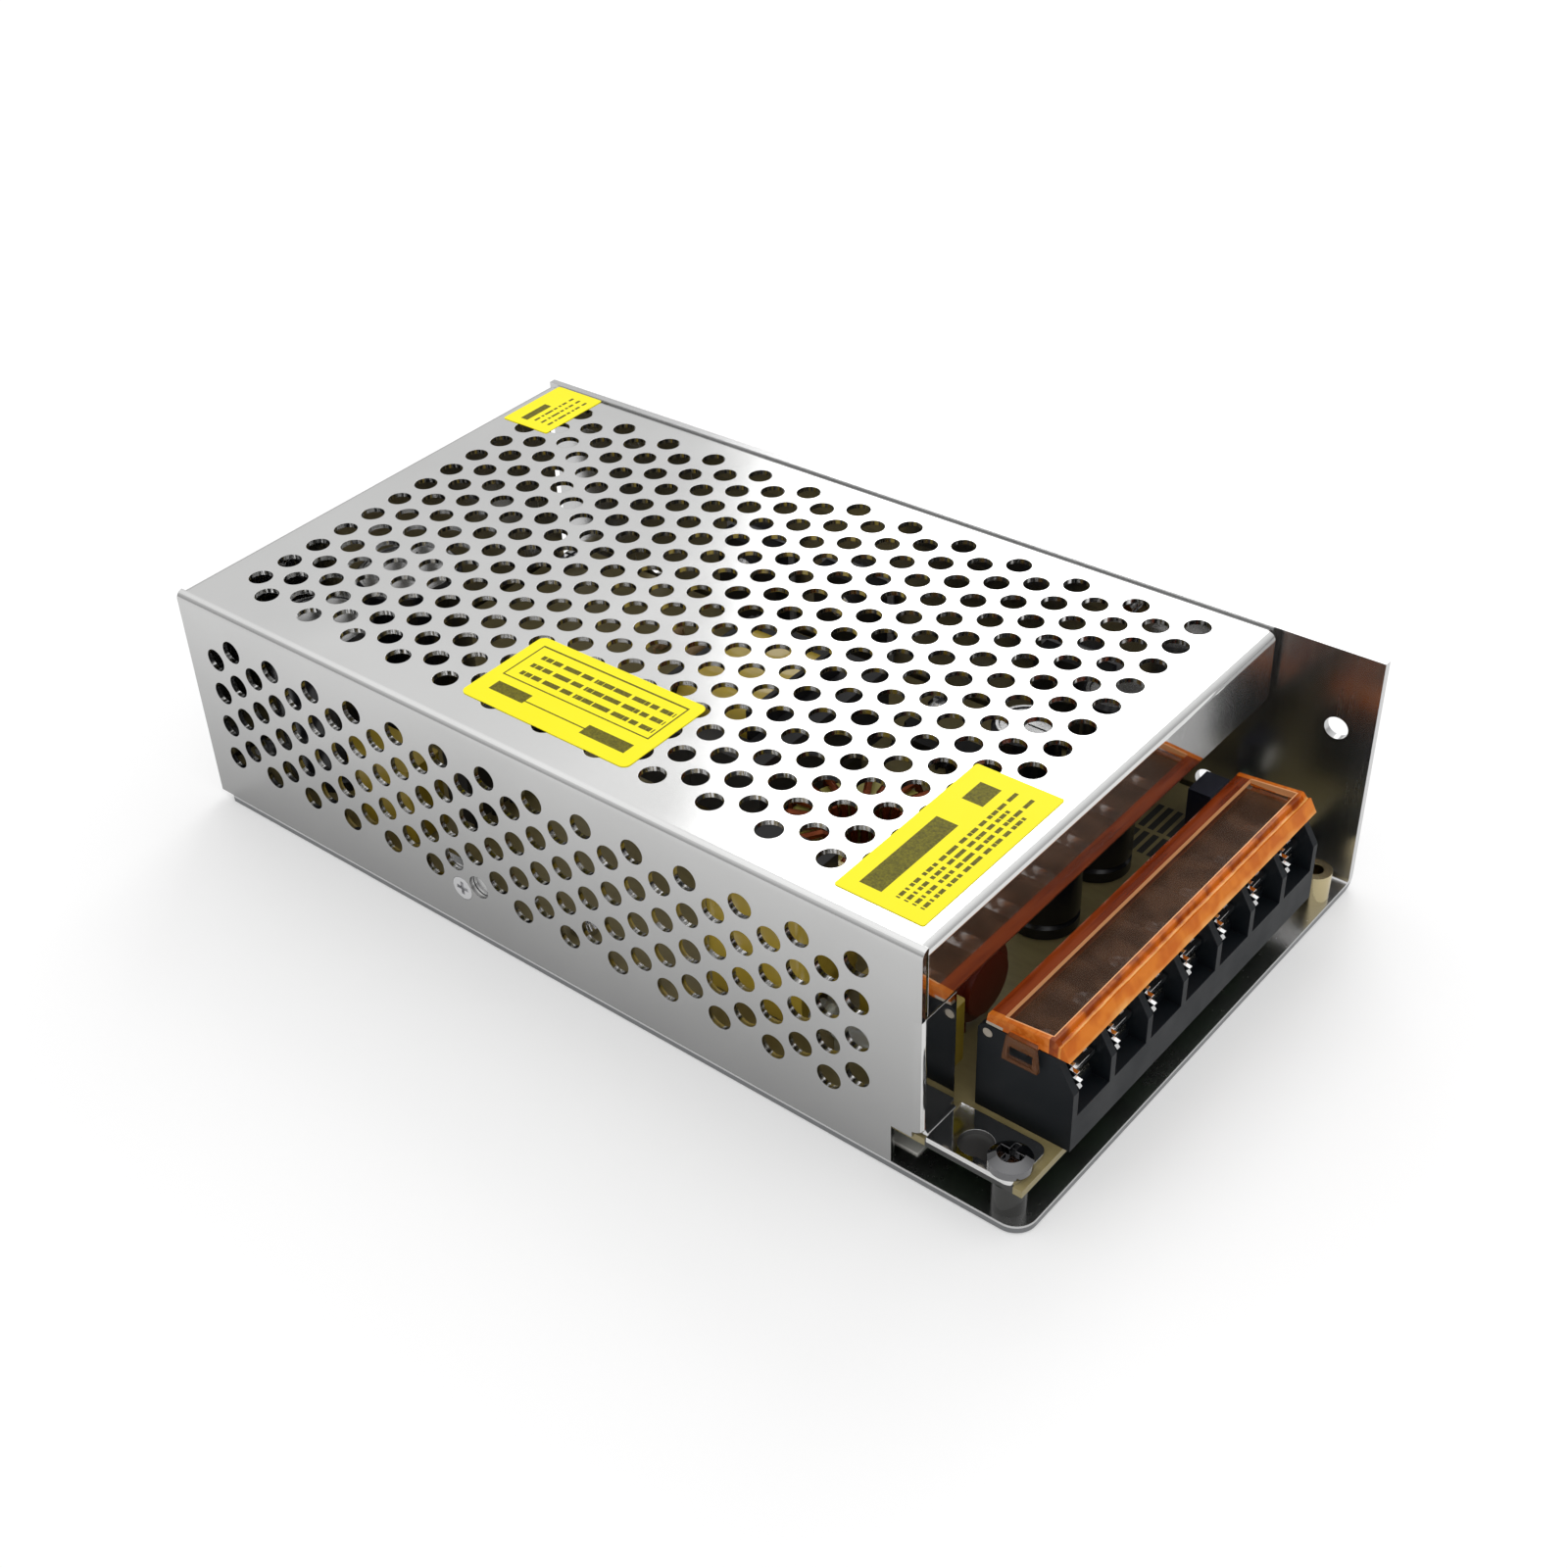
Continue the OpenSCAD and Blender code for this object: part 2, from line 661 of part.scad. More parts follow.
module clamp_plate(i) color(bright) at(0, term_y(i - 1), board_top + clamp_h) difference() {
  union() {
    translate([clamp_x0, -clamp_w / 2, 0]) cube([clamp_x1 - clamp_x0, clamp_w, clamp_t]);
    upright(-clamp_w / 2, clamp_ear_t) clamp_ear();
    upright(clamp_w / 2 - clamp_ear_t, clamp_ear_t) low_ear();
  }
  translate([term_x, 0, -1]) cylinder(h = clamp_t + 2, d = term_screw_d + 2 * tap_gap);
}

module terminal_screw(i) color(steel)
  at(term_x, term_y(i - 1), board_top + clamp_h + clamp_t)
    pan_screw(term_screw_d, term_head_d, term_head_h, 8.2);

module clamp_plate_1() clamp_plate(1);
module clamp_plate_2() clamp_plate(2);
module clamp_plate_3() clamp_plate(3);
module clamp_plate_4() clamp_plate(4);
module clamp_plate_5() clamp_plate(5);
module clamp_plate_6() clamp_plate(6);
module clamp_plate_7() clamp_plate(7);
module terminal_screw_1() terminal_screw(1);
module terminal_screw_2() terminal_screw(2);
module terminal_screw_3() terminal_screw(3);
module terminal_screw_4() terminal_screw(4);
module terminal_screw_5() terminal_screw(5);
module terminal_screw_6() terminal_screw(6);
module terminal_screw_7() terminal_screw(7);

// ---------------------------------------------------------------- terminal cover
lid_x0 = block_x0 + 1.5;
lid_x1 = case_l - 1.1;
lid_z = block_h + 0.2;
panel_drop = 1.2;
catch_t = 0.8;
catch_gap = 0.6;

// Height of the tray's top, which rises from the rear rim to the front rim
function lid_top(x) = lid_rear_h + (lid_h - lid_rear_h) * (x - lid_x0) / (lid_x1 - lid_x0 - 2.8);

// Section of the tray: rear rim, sunk panel, ridged and sloping front rim
module lid_outline() translate([0, lid_z]) polygon([
  [lid_x0, 0],
  [lid_x0 + 0.3, lid_top(lid_x0 + 0.3)],
  [lid_x0 + 2.9, lid_top(lid_x0 + 2.9)],
  [lid_x0 + 3.2, lid_top(lid_x0 + 3.2) - panel_drop],
  [lid_x1 - 3.9, lid_top(lid_x1 - 3.9) - panel_drop],
  [lid_x1 - 3.6, lid_h],
  [lid_x1 - 2.8, lid_h],
  [lid_x1 - 2.4, lid_h - 0.9],
  [lid_x1 - 1.8, lid_h - 0.9],
  [lid_x1 - 1.4, lid_h - 0.6],
  [lid_x1, 0],
  [lid_x1 - lid_t - 0.2, 0],
  [lid_x1 - 3, lid_top(lid_x1 - 3.9) - panel_drop - lid_t],
  [lid_x0 + lid_t + 1.5, max(0, lid_top(lid_x0 + 3.2) - panel_drop - lid_t)],
  [lid_x0 + lid_t, 0]
]);

module lid_end_outline() translate([0, lid_z]) polygon([
  [lid_x0, 0],
  [lid_x0 + 0.3, lid_top(lid_x0 + 0.3)],
  [lid_x1 - 2.8, lid_h],
  [lid_x1, 0]
]);

// Catch hanging outside the block's end face, open in the middle round the nub
module catch_outline() difference() {
  polygon([
    [catch_x - 3.3, pivot_h - 2.2],
    [catch_x + 3.3, pivot_h - 2.2],
    [catch_x + 2.6, lid_z + lid_t],
    [catch_x - 2.6, lid_z + lid_t]
  ]);
  translate([catch_x - 2.3, pivot_h - 1.5]) square([4.6, 2.6]);
}

// Hinge arm inside the end wall, its pin reaching out through the wall
module hinge_arm() {
  upright(divider_t + arm_gap, arm_t) union() {
    translate([pivot_x, pivot_h]) circle(bead_r - 0.2);
    translate([pivot_x - 0.1, pivot_h]) square([1.6, lid_z + lid_rear_h - lid_t / 2 - pivot_h]);
  }
  translate([pivot_x, divider_t + arm_gap + arm_t / 2, pivot_h]) rotate([90, 0, 0])
    cylinder(h = divider_t + arm_gap + arm_t / 2 - 0.1, d = hinge_d);
}

module terminal_cover() color(amber) at(0, 0, board_top) union() {
  upright(block_near, block_far - block_near) lid_outline();
  for (s = [0, 1]) at_end(s) {
    upright(0, lid_t) lid_end_outline();
    upright(-catch_gap - catch_t, catch_t) catch_outline();
    translate([catch_x - 2.6, -catch_gap - 0.1, lid_z]) cube([5.2, catch_gap + 0.2, lid_t]);
    hinge_arm();
  }
}

// ---------------------------------------------------------------- wire legs
leg_out = 1.2;
drill_gap = 0.2;

// Wire leg through the board, up to a height above it
module leg(d, top) translate([0, 0, board_z - leg_out]) cylinder(h = leg_out + board_t + top, d = d);

// Hole in the board for such a leg
module drill(d) circle(d = d + drill_gap);

// Row of n places along X and Y steps, centred on (x, y)
module row(x, y, n, dx, dy) for (i = [0 : n - 1])
  translate([x + (i - (n - 1) / 2) * dx, y + (i - (n - 1) / 2) * dy]) children();

module board_drills() {
  trimmer_pins() drill(fine_leg);
  led_pins() drill(fine_leg);
  clip_pins() drill(thick_leg);
  disc_pins(thermistor_at, thermistor_d) drill(wire_leg);
  disc_pins(varistor_at, varistor_d) drill(wire_leg);
  for (p = y_cap_at) disc_pins(p, y_cap_d) drill(wire_leg);
  x_cap_pins() drill(wire_leg);
  filter_pins() drill(thick_leg);
  bridge_pins() drill(thick_leg);
  can_pins(bulk_at, bulk_d) drill(wire_leg);
  coupling_pins() drill(wire_leg);
  drive_pins() drill(wire_leg);
  package_pins([0, 1, 2]) drill(thick_leg);
  transformer_pins() drill(thick_leg);
  choke_pins() drill(wire_d);
  can_pins(out_cap_at, out_cap_d) drill(wire_leg);
  chip_pins() drill(fine_leg);
  resistor_pins() drill(fine_leg);
}
fine_leg = 0.6;
wire_leg = 0.8;
thick_leg = 1.2;

// ---------------------------------------------------------------- output adjustment
trimmer_x = case_l - 23;
trimmer_y = block_far + 7.7;
trimmer_w = 6.8;
trimmer_d = 4.6;
trimmer_h = 9.5;
rotor_z = board_top + trimmer_h / 2 + 0.6;
rotor_d = 4.8;
rotor_t = 1;
rotor_gap = 0.3;
rotor_clear = 0.1;
shaft_d = 2;
shaft_l = 2;
led_x = trimmer_x - 1.6;
led_y = wall_far - 3.4;

module trimmer_pins() row(trimmer_x - trimmer_d / 2, trimmer_y, 2, 0, 4.4) children();
module led_pins() row(led_x, led_y, 2, 0, 1.8) children();

module trimmer_body() color([0.16, 0.24, 0.5]) {
  at(trimmer_x, trimmer_y) difference() {
    union() {
      translate([-trimmer_d, -trimmer_w / 2, board_top + 0.8])
        cube([trimmer_d, trimmer_w, trimmer_h - 0.8]);
      for (y = [-2.6, 1]) translate([-trimmer_d + 0.6, y, board_top]) cube([3.2, 1.6, 1]);
    }
    translate([-rotor_t - shaft_l - 0.1, 0, rotor_z]) rotate([0, 90, 0])
      cylinder(h = 5, d = shaft_d + 2 * tap_gap);
    translate([-rotor_t, 0, rotor_z]) rotate([0, 90, 0])
      cylinder(h = 5, d = rotor_d + 2 * rotor_gap);
  }
  at(0, 0) trimmer_pins() leg(fine_leg, 1);
}

module trimmer_rotor() color([0.94, 0.93, 0.9])
  at(trimmer_x, trimmer_y, rotor_z) rotate([0, 90, 0]) difference() {
    union() {
      translate([0, 0, rotor_clear - rotor_t]) cylinder(h = rotor_t + 0.3, d = rotor_d);
      translate([0, 0, -rotor_t - shaft_l]) cylinder(h = shaft_l + 0.5, d = shaft_d);
    }
    for (a = [0, 90]) rotate(a) translate([-1.7, -0.35, -0.1]) cube([3.4, 0.7, 1]);
  }

module indicator_led() color([0.35, 0.75, 0.4]) {
  at(led_x, led_y, board_top) {
    cylinder(h = 0.8, d = 3.8);
    cylinder(h = 3.5, d = 3);
    translate([0, 0, 3.5]) sphere(d = 3);
  }
  at(0, 0) led_pins() leg(fine_leg, 1);
}

// ---------------------------------------------------------------- mains input parts
// Rounded box standing on the board, l along X
module case_box(l, w, h, r) translate([0, 0, board_top]) linear_extrude(h)
  translate([-l / 2, -w / 2]) round_rect(l, w, r);

fuse_x = case_l - 37.5;
fuse_y = 9.5;
fuse_h = 6;
fuse_d = 5.2;
fuse_l = 20;
cap_ring_l = 5.6;
clip_l = 4.4;
clip_t = 0.5;
clip_x = fuse_l / 2 - cap_ring_l / 2;

module clip_pins() row(fuse_x, fuse_y, 2, 2 * clip_x, 0) children();

module fuse() color([0.85, 0.9, 0.92]) at(fuse_x, fuse_y, board_top + fuse_h)
  rotate([0, 90, 0]) union() {
    cylinder(h = fuse_l - 2, d = fuse_d - 0.5, center = true);
    for (s = [-1, 1]) translate([0, 0, s * clip_x]) cylinder(h = cap_ring_l, d = fuse_d, center = true);
  }

// Sprung clip: a foot, two legs and an open ring round the fuse's end cap
module clip_outline() difference() {
  union() {
    circle(d = fuse_d + 2 * clip_t + 0.1);
    translate([-fuse_d / 2, -fuse_h]) square([fuse_d, fuse_h]);
  }
  circle(d = fuse_d + 0.1);
  translate([-fuse_d / 2 + 0.6, 0]) square([fuse_d - 1.2, fuse_d]);
  translate([-fuse_d / 2 + clip_t, -fuse_h + clip_t + 0.1])
    square([fuse_d - 2 * clip_t, fuse_h - fuse_d / 2]);
}

module fuse_clips() color([0.8, 0.74, 0.5]) {
  for (s = [-1, 1]) at(fuse_x + s * clip_x, fuse_y, board_top + fuse_h)
    rotate([90, 0, 90]) linear_extrude(clip_l, center = true) clip_outline();
  at(0, 0) clip_pins() leg(thick_leg, clip_t);
}

// Disc component standing on two legs, its axis along X
disc_lift = 2;
module disc_body(p, d, t) at(p[0], p[1], board_top + disc_lift + d / 2)
  rotate([0, 90, 0]) union() {
    cylinder(h = t * 0.5, d = d, center = true);
    cylinder(h = t, d = d * 0.78, center = true);
  }
module disc_pins(p, d) row(p[0], p[1], 2, 0, d * 0.45) children();
module disc_part(p, d, t) {
  disc_body(p, d, t);
  at(0, 0) disc_pins(p, d) leg(wire_leg, disc_lift + d * 0.2);
}

thermistor_at = [case_l - 40, 33];
thermistor_d = 12;
varistor_at = [case_l - 29, 29];
varistor_d = 15;
y_cap_at = [[case_l - 45, 27], [case_l - 45, 38]];
y_cap_d = 8;

module thermistor() color([0.13, 0.2, 0.17]) disc_part(thermistor_at, thermistor_d, 5);
module varistor() color([0.42, 0.13, 0.07]) disc_part(varistor_at, varistor_d, 5);
module y_capacitors() color([0.2, 0.36, 0.62]) for (p = y_cap_at) disc_part(p, y_cap_d, 3.6);

x_cap_at = [case_l - 34, 17.5];
x_cap_l = 17.5;
module x_cap_pins() row(x_cap_at[0], x_cap_at[1], 2, x_cap_l - 3, 0) children();
module x_capacitor() color([0.8, 0.7, 0.2]) {
  at(x_cap_at[0], x_cap_at[1]) case_box(x_cap_l, 6.4, 13, 0.8);
  at(0, 0) x_cap_pins() leg(wire_leg, 1);
}

// Common-mode filter: ferrite frame with a taped winding on each leg
filter_at = [case_l - 60.5, 16.5];
filter_w = 18;
filter_t = 9;
filter_h = 28;
filter_leg = 4.4;
filter_base = 3;
filter_tape = 3;

module filter_core() color(ferrite) at(filter_at[0], filter_at[1], board_top + filter_base)
  difference() {
    translate([-filter_w / 2, -filter_t / 2, 0]) cube([filter_w, filter_t, filter_h]);
    translate([-filter_w / 2 + filter_leg, -filter_t / 2 - 1, filter_leg])
      cube([filter_w - 2 * filter_leg, filter_t + 2, filter_h - 2 * filter_leg]);
  }

module filter_pins() for (x = [-8, 8]) row(filter_at[0] + x, filter_at[1], 2, 0, 12) children();

// The two windings share one taped bobbin, which stands on four pins
module filter_winding() color(tape) {
  l = filter_w + 2 * filter_tape;
  w = filter_t + 2 * filter_tape;
  at(filter_at[0], filter_at[1], board_top) {
    translate([0, 0, filter_base + filter_leg + 0.2])
      linear_extrude(filter_h - 2 * filter_leg - 0.4) difference() {
        translate([-l / 2, -w / 2]) round_rect(l, w, 3);
        square([filter_w + 0.2, filter_t + 0.2], center = true);
      }
    for (y = [-w / 2, filter_t / 2 + 0.2]) translate([-l / 2 + 2, y, 0])
      cube([l - 4, filter_tape - 0.2, filter_base + filter_leg + 1]);
  }
  at(0, 0) filter_pins() leg(thick_leg, 1);
}

bridge_at = [62, 24];
bridge_w = 22;
module bridge_pins() row(bridge_at[0], bridge_at[1], 4, 0, 5) children();
module bridge_rectifier() color(black) {
  at(bridge_at[0] - 3, bridge_at[1] - bridge_w / 2, board_top + 4) cube([6, bridge_w, 19]);
  at(0, 0) bridge_pins() leg(thick_leg, 5);
}

// Radial electrolytic can: sleeve with a rolled groove and a scored top
module can_body(p, d, h) at(p[0], p[1], board_top) difference() {
  rotate_extrude() polygon([
    [0, 0],
    [d / 2 - 0.3, 0],
    [d / 2, 0.3],
    [d / 2, 2.4],
    [d / 2 - 0.6, 3],
    [d / 2, 3.6],
    [d / 2, h - 0.8],
    [d / 2 - 0.8, h],
    [d / 2 - 1.4, h],
    [d / 2 - 1.6, h - 0.3],
    [0, h - 0.3]
  ]);
  for (a = [0, 120, 240]) rotate(a) translate([0, -0.2, h - 0.6]) cube([d * 0.32, 0.4, 1]);
}
module can_pins(places, d) for (p = places) row(p[0], p[1], 2, d * 0.4, 0) children();
module cans(places, d, h) {
  for (p = places) can_body(p, d, h);
  at(0, 0) can_pins(places, d) leg(wire_leg, 0.5);
}

bulk_at = [[24, 15.5], [24, 40]];
module bulk_capacitors() color([0.14, 0.11, 0.1]) cans(bulk_at, bulk_d, bulk_h);

coupling_at = [47.5, 10];
coupling_l = 18;
module coupling_pins() row(coupling_at[0], coupling_at[1], 2, coupling_l - 3, 0) children();
module coupling_capacitor() color([0.8, 0.68, 0.25]) {
  at(coupling_at[0], coupling_at[1]) case_box(coupling_l, 9, 17, 0.8);
  at(0, 0) coupling_pins() leg(wire_leg, 1);
}

// ---------------------------------------------------------------- power stage
drive_at = [50, 42];
drive_w = 17;
drive_window = 10.4;
drive_core_t = 4.8;
module drive_pins() for (y = [-6, 6]) row(drive_at[0], drive_at[1] + y, 3, 3.6, 0) children();

// Small driver transformer: core, bobbin and taped winding in one dipped piece
module drive_transformer() color(tape) {
  at(drive_at[0], drive_at[1], board_top) {
    translate([-drive_window / 2, -7.4, 0]) cube([drive_window, 14.8, 13.8]);
    translate([-drive_w / 2, -drive_core_t / 2, 1.6]) cube([drive_w, drive_core_t, 15]);
  }
  at(0, 0) drive_pins() leg(wire_leg, 1);
}

// Flat power package screwed to the side wall through its tab hole
package_t = 4.6;
package_w = 15.6;
package_h = 20;
package_top = 6;
pad_t = 0.4;
sink_screw_d = 3;
package_z = sink_z + package_top - package_h;

module package_pins(which) for (i = which)
  row(sink_x[i], wall_far - pad_t - package_t / 2, 3, package_w * 0.33, 0) children();

module packages(which) {
  for (i = which) at(sink_x[i], wall_far - pad_t - package_t) difference() {
    translate([-package_w / 2, 0, package_z]) cube([package_w, package_t, package_h]);
    translate([0, -1, sink_z]) rotate([-90, 0, 0])
      cylinder(h = package_t + 2, d = sink_screw_d + 0.4);
  }
  at(0, 0) package_pins(which) leg(thick_leg, package_z - board_top + 0.5);
}

module switching_transistors() color(black) packages([0, 1]);
module output_rectifier() color(black) packages([2]);

module insulating_pads() color([0.7, 0.7, 0.72]) for (x = sink_x) at(x, wall_far - pad_t)
  upright(0, pad_t) difference() {
    translate([-package_w / 2 - 1.2, package_z - 1]) square([package_w + 2.4, package_h + 2]);
    translate([0, sink_z]) circle(d = sink_screw_d + 0.4);
  }

module transistor_screws() color(steel) for (x = sink_x)
  at(x, wall_far - pad_t - package_t, sink_z) rotate([90, 0, 0])
    pan_screw(sink_screw_d, 5.6, 2.2, package_t + pad_t + chassis_t - 0.2);

transformer_at = [case_l - 102, 61];
core_lift = 6.8;
leg_t = 6;
side_t = 1;
core_in = core_h - 2;
back_t = (core_l - window_l) / 2 - 0.1;
wound_z = board_top + core_lift + core_h / 2;
rail_t = 5;

module transformer_pins() for (s = [-1, 1])
  row(transformer_at[0] + s * (window_l + rail_t) / 2, transformer_at[1], 5, 0, 5) children();

// Two E-shaped ferrite halves that meet inside the winding
module transformer_core() color(ferrite) for (s = [-1, 1])
  at(transformer_at[0], transformer_at[1], board_top + core_lift) scale([s, 1, 1])
    linear_extrude(core_h) union() {
      translate([core_l / 2 - back_t, -core_w / 2]) square([back_t, core_w]);
      for (y = [-core_w / 2, core_w / 2 - leg_t]) translate([0.05, y])
        square([core_l / 2 - 0.05, leg_t]);
      translate([0.05, -core_in / 2]) square([core_l / 2 - 1, core_in]);
    }

// Bobbin: tube round the middle leg with end flanges and pin rails
tube_w = core_in + 0.4;
tube_h = core_h + 0.4;
module transformer_bobbin() color([0.12, 0.12, 0.13]) {
  at(transformer_at[0], transformer_at[1], wound_z) difference() {
    union() {
      cube([window_l, tube_w + 2, tube_h + 2], center = true);
      for (s = [-1, 1]) translate([s * (window_l - side_t) / 2, 0, 0])
        cube([side_t, wound_w + 1, wound_h + 1], center = true);
    }
    cube([window_l + 2, tube_w, tube_h], center = true);
  }
  for (s = [-1, 1]) {
    at(transformer_at[0] + s * (window_l - side_t) / 2, transformer_at[1], board_top)
      translate([-side_t / 2, -wound_w / 2, 0]) cube([side_t, wound_w, core_lift - 0.3]);
    at(transformer_at[0] + s * (window_l + rail_t) / 2, transformer_at[1], board_top)
      translate([-rail_t / 2 - 0.5, -wound_w / 2, 0]) cube([rail_t + 1, wound_w, core_lift - 0.3]);
  }
  at(0, 0) transformer_pins() leg(thick_leg, 1);
}

module transformer_winding() color(tape)
  at(transformer_at[0], transformer_at[1], wound_z) rotate([90, 0, 90])
    linear_extrude(window_l - 2 * side_t - 0.2, center = true) difference() {
      translate([-wound_w / 2, -wound_h / 2]) round_rect(wound_w, wound_h, 5);
      square([tube_w + 2.1, tube_h + 2.1], center = true);
    }

// ---------------------------------------------------------------- output choke
choke_at = [case_l - 65.5, 47];
wire_gap = 0.2;
core_chamfer = 0.8;
ring_mid = (ring_d + ring_bore) / 4;
ring_wall = (ring_d - ring_bore) / 2;
loop_r = ring_wall / 2 + wire_d / 2 + wire_gap;
loop_z = ring_h / 2 + wire_d / 2 + wire_gap;
choke_z = board_top + loop_z + wire_d / 2 + 0.2;
loop_round = 0.35;
turn_steps = 16;
wire_sides = 6;
wound_angle = 336;
start_r = ring_mid + loop_r;

// Chamfered ring core
module choke_core() color([0.75, 0.72, 0.3]) at(choke_at[0], choke_at[1], choke_z)
  rotate_extrude() polygon([
    for (c = [[1, -1, 0], [1, 0, -1], [1, 0, 1], [1, 1, 0], [-1, 1, 0], [-1, 0, 1], [-1, 0, -1], [-1, -1, 0]])
      [
        ring_mid + c[0] * (ring_wall / 2 - (c[2] == 0 ? core_chamfer : 0)),
        (c[1] == 0 ? c[2] * (ring_h / 2 - core_chamfer) : c[1] * ring_h / 2)
      ]
  ]);

// The wire goes round the section as a rounded rectangle, by even steps of length
function loop_point(v) =
  let (
    s = v * 8,
    k = floor(s),
    f = s - k,
    c = loop_round
  )
  k % 2 == 0
    ? side_point(k / 2, f, c)
    : corner_point((k - 1) / 2, f, c);

// Straight stretch q of the section, from the outside going up
function side_point(q, f, c) =
  let (w = 1 - c, t = 2 * f - 1)
  q == 0 ? [1, w * t] : q == 1 ? [-w * t, 1] : q == 2 ? [-1, -w * t] : [w * t, -1];

// Round corner q of the section
function corner_point(q, f, c) =
  let (a = 90 * q + 90 * f, w = 1 - c, x = q == 0 || q == 3 ? w : -w, z = q < 2 ? w : -w)
  [x + c * cos(a), z + c * sin(a)];

// Middle of the wire after u turns; below 0 and past the end it goes down to the board
function wire_point(u) =
  let (
    n = min(max(u, 0), choke_turns),
    drop = max(-u, u - choke_turns, 0),
    p = loop_point(n - floor(n)),
    b = wound_angle * n / choke_turns,
    r = ring_mid + loop_r * p[0],
    z = loop_z * p[1] - drop
  ) [r * cos(b), r * sin(b), z];

// Ring of points round the wire at u
function wire_ring(u) =
  let (
    q = wire_point(u + 0.02) - wire_point(u - 0.02),
    t = q / norm(q),
    b = wound_angle * min(max(u, 0), choke_turns) / choke_turns,
    k = cross(t, [-sin(b), cos(b), 0]),
    m = k / norm(k),
    n = cross(t, m)
  ) [for (i = [0 : wire_sides - 1])
      wire_point(u) + wire_d / 2 * (cos(360 * i / wire_sides) * m + sin(360 * i / wire_sides) * n)];

module choke_pins() for (b = [0, wound_angle])
  translate([choke_at[0] + start_r * cos(b), choke_at[1] + start_r * sin(b)]) children();

module choke_winding() {
  drop = choke_z - loop_z * (1 - loop_round) - board_z + leg_out;
  steps = concat(
    [-drop],
    [for (i = [0 : choke_turns * turn_steps]) i / turn_steps],
    [choke_turns + drop]
  );
  rings = [for (u = steps) wire_ring(u)];
  points = [for (r = rings, p = r) p];
  last = len(points) - wire_sides;
  color([0.5, 0.16, 0.06]) at(choke_at[0], choke_at[1], choke_z) polyhedron(
    points = points,
    faces = concat(
      [[for (i = [wire_sides - 1 : -1 : 0]) i]],
      [[for (i = [0 : wire_sides - 1]) last + i]],
      [for (i = [0 : len(rings) - 2], j = [0 : wire_sides - 1])
        let (a = i * wire_sides, k = (j + 1) % wire_sides)
          [a + j, a + k, a + wire_sides + k, a + wire_sides + j]]
    ),
    convexity = 8
  );
}

out_cap_at = [
  [case_l - 34.5, case_w - 51.5],
  [case_l - 35.5, case_w - 32.5],
  [case_l - 44, case_w - 14],
  [case_l - 51.5, case_w - 32.5]
];
module output_capacitors() color(sleeve) cans(out_cap_at, out_cap_d, out_cap_h);

// ---------------------------------------------------------------- control parts
chip_at = [case_l - 77, case_w - 22];
chip_l = 20;
chip_w = 6.4;
pin_pitch = 2.54;
chip_side_pins = 8;
module chip_pins() for (s = [-1, 1])
  row(chip_at[0], chip_at[1] + s * (chip_w / 2 + 0.6), chip_side_pins, pin_pitch, 0) children();

module control_chip() color(black) {
  at(chip_at[0], chip_at[1], board_top + 0.6) difference() {
    translate([-chip_l / 2, -chip_w / 2, 0]) cube([chip_l, chip_w, 3.4]);
    translate([-chip_l / 2, 0, 2.6]) cylinder(h = 2, d = 2);
  }
  at(0, 0) chip_pins() {
    leg(fine_leg, 2.4);
    translate([-0.3, -1, board_top + 1.8]) cube([0.6, 2, 0.5]);
  }
}

resistor_at = [
  [50, case_w - 22],
  [58, case_w - 22],
  [66, case_w - 22],
  [74, case_w - 20],
  [82, case_w - 20],
  [case_l - 54.5, case_w - 18]
];
resistor_span = 9.6;
module resistor_pins() for (p = resistor_at) row(p[0], p[1], 2, 0, resistor_span) children();
module resistors() color([0.72, 0.58, 0.4]) {
  for (p = resistor_at) at(p[0], p[1], board_top + 1.4) rotate([90, 0, 0]) {
    cylinder(h = 5, d = 2.2, center = true);
    for (s = [-1, 1]) translate([0, 0, s * 2.4]) cylinder(h = 1.6, d = 2.6, center = true);
    cylinder(h = resistor_span, d = fine_leg, center = true);
  }
  at(0, 0) resistor_pins() leg(fine_leg, 1.4);
}

// ---------------------------------------------------------------- stickers
module label(x, y, l, w, r) color(sticker) at(x, y, case_h)
  linear_extrude(label_t) round_rect(l, w, r);

module label_front() label(cover_front - 20.4, 5, front_label_w, front_label_l, 0.5);
module label_middle() label(72.3, 8.4, mid_label_l, mid_label_w, 1.5);
module label_rear() label(cover_rear + 2.8, cover_far - 0.6 - rear_label_l, 13, rear_label_l, 0.5);

chassis();
mesh_cover();
cover_screws();
circuit_board();
insulating_sheet();
pillars();
board_screws();
tab_screw();
terminal_block();
terminal_contacts();
terminal_cover();
clamp_plate_1();
clamp_plate_2();
clamp_plate_3();
clamp_plate_4();
clamp_plate_5();
clamp_plate_6();
clamp_plate_7();
terminal_screw_1();
terminal_screw_2();
terminal_screw_3();
terminal_screw_4();
terminal_screw_5();
terminal_screw_6();
terminal_screw_7();
trimmer_body();
trimmer_rotor();
indicator_led();
fuse();
fuse_clips();
thermistor();
varistor();
x_capacitor();
y_capacitors();
filter_core();
filter_winding();
bridge_rectifier();
bulk_capacitors();
coupling_capacitor();
drive_transformer();
switching_transistors();
output_rectifier();
insulating_pads();
transistor_screws();
transformer_core();
transformer_bobbin();
transformer_winding();
choke_core();
choke_winding();
output_capacitors();
control_chip();
resistors();
label_front();
label_middle();
label_rear();
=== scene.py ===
"""Looks for a mesh case switching power supply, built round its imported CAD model."""

import bpy
from mathutils import Matrix, Vector


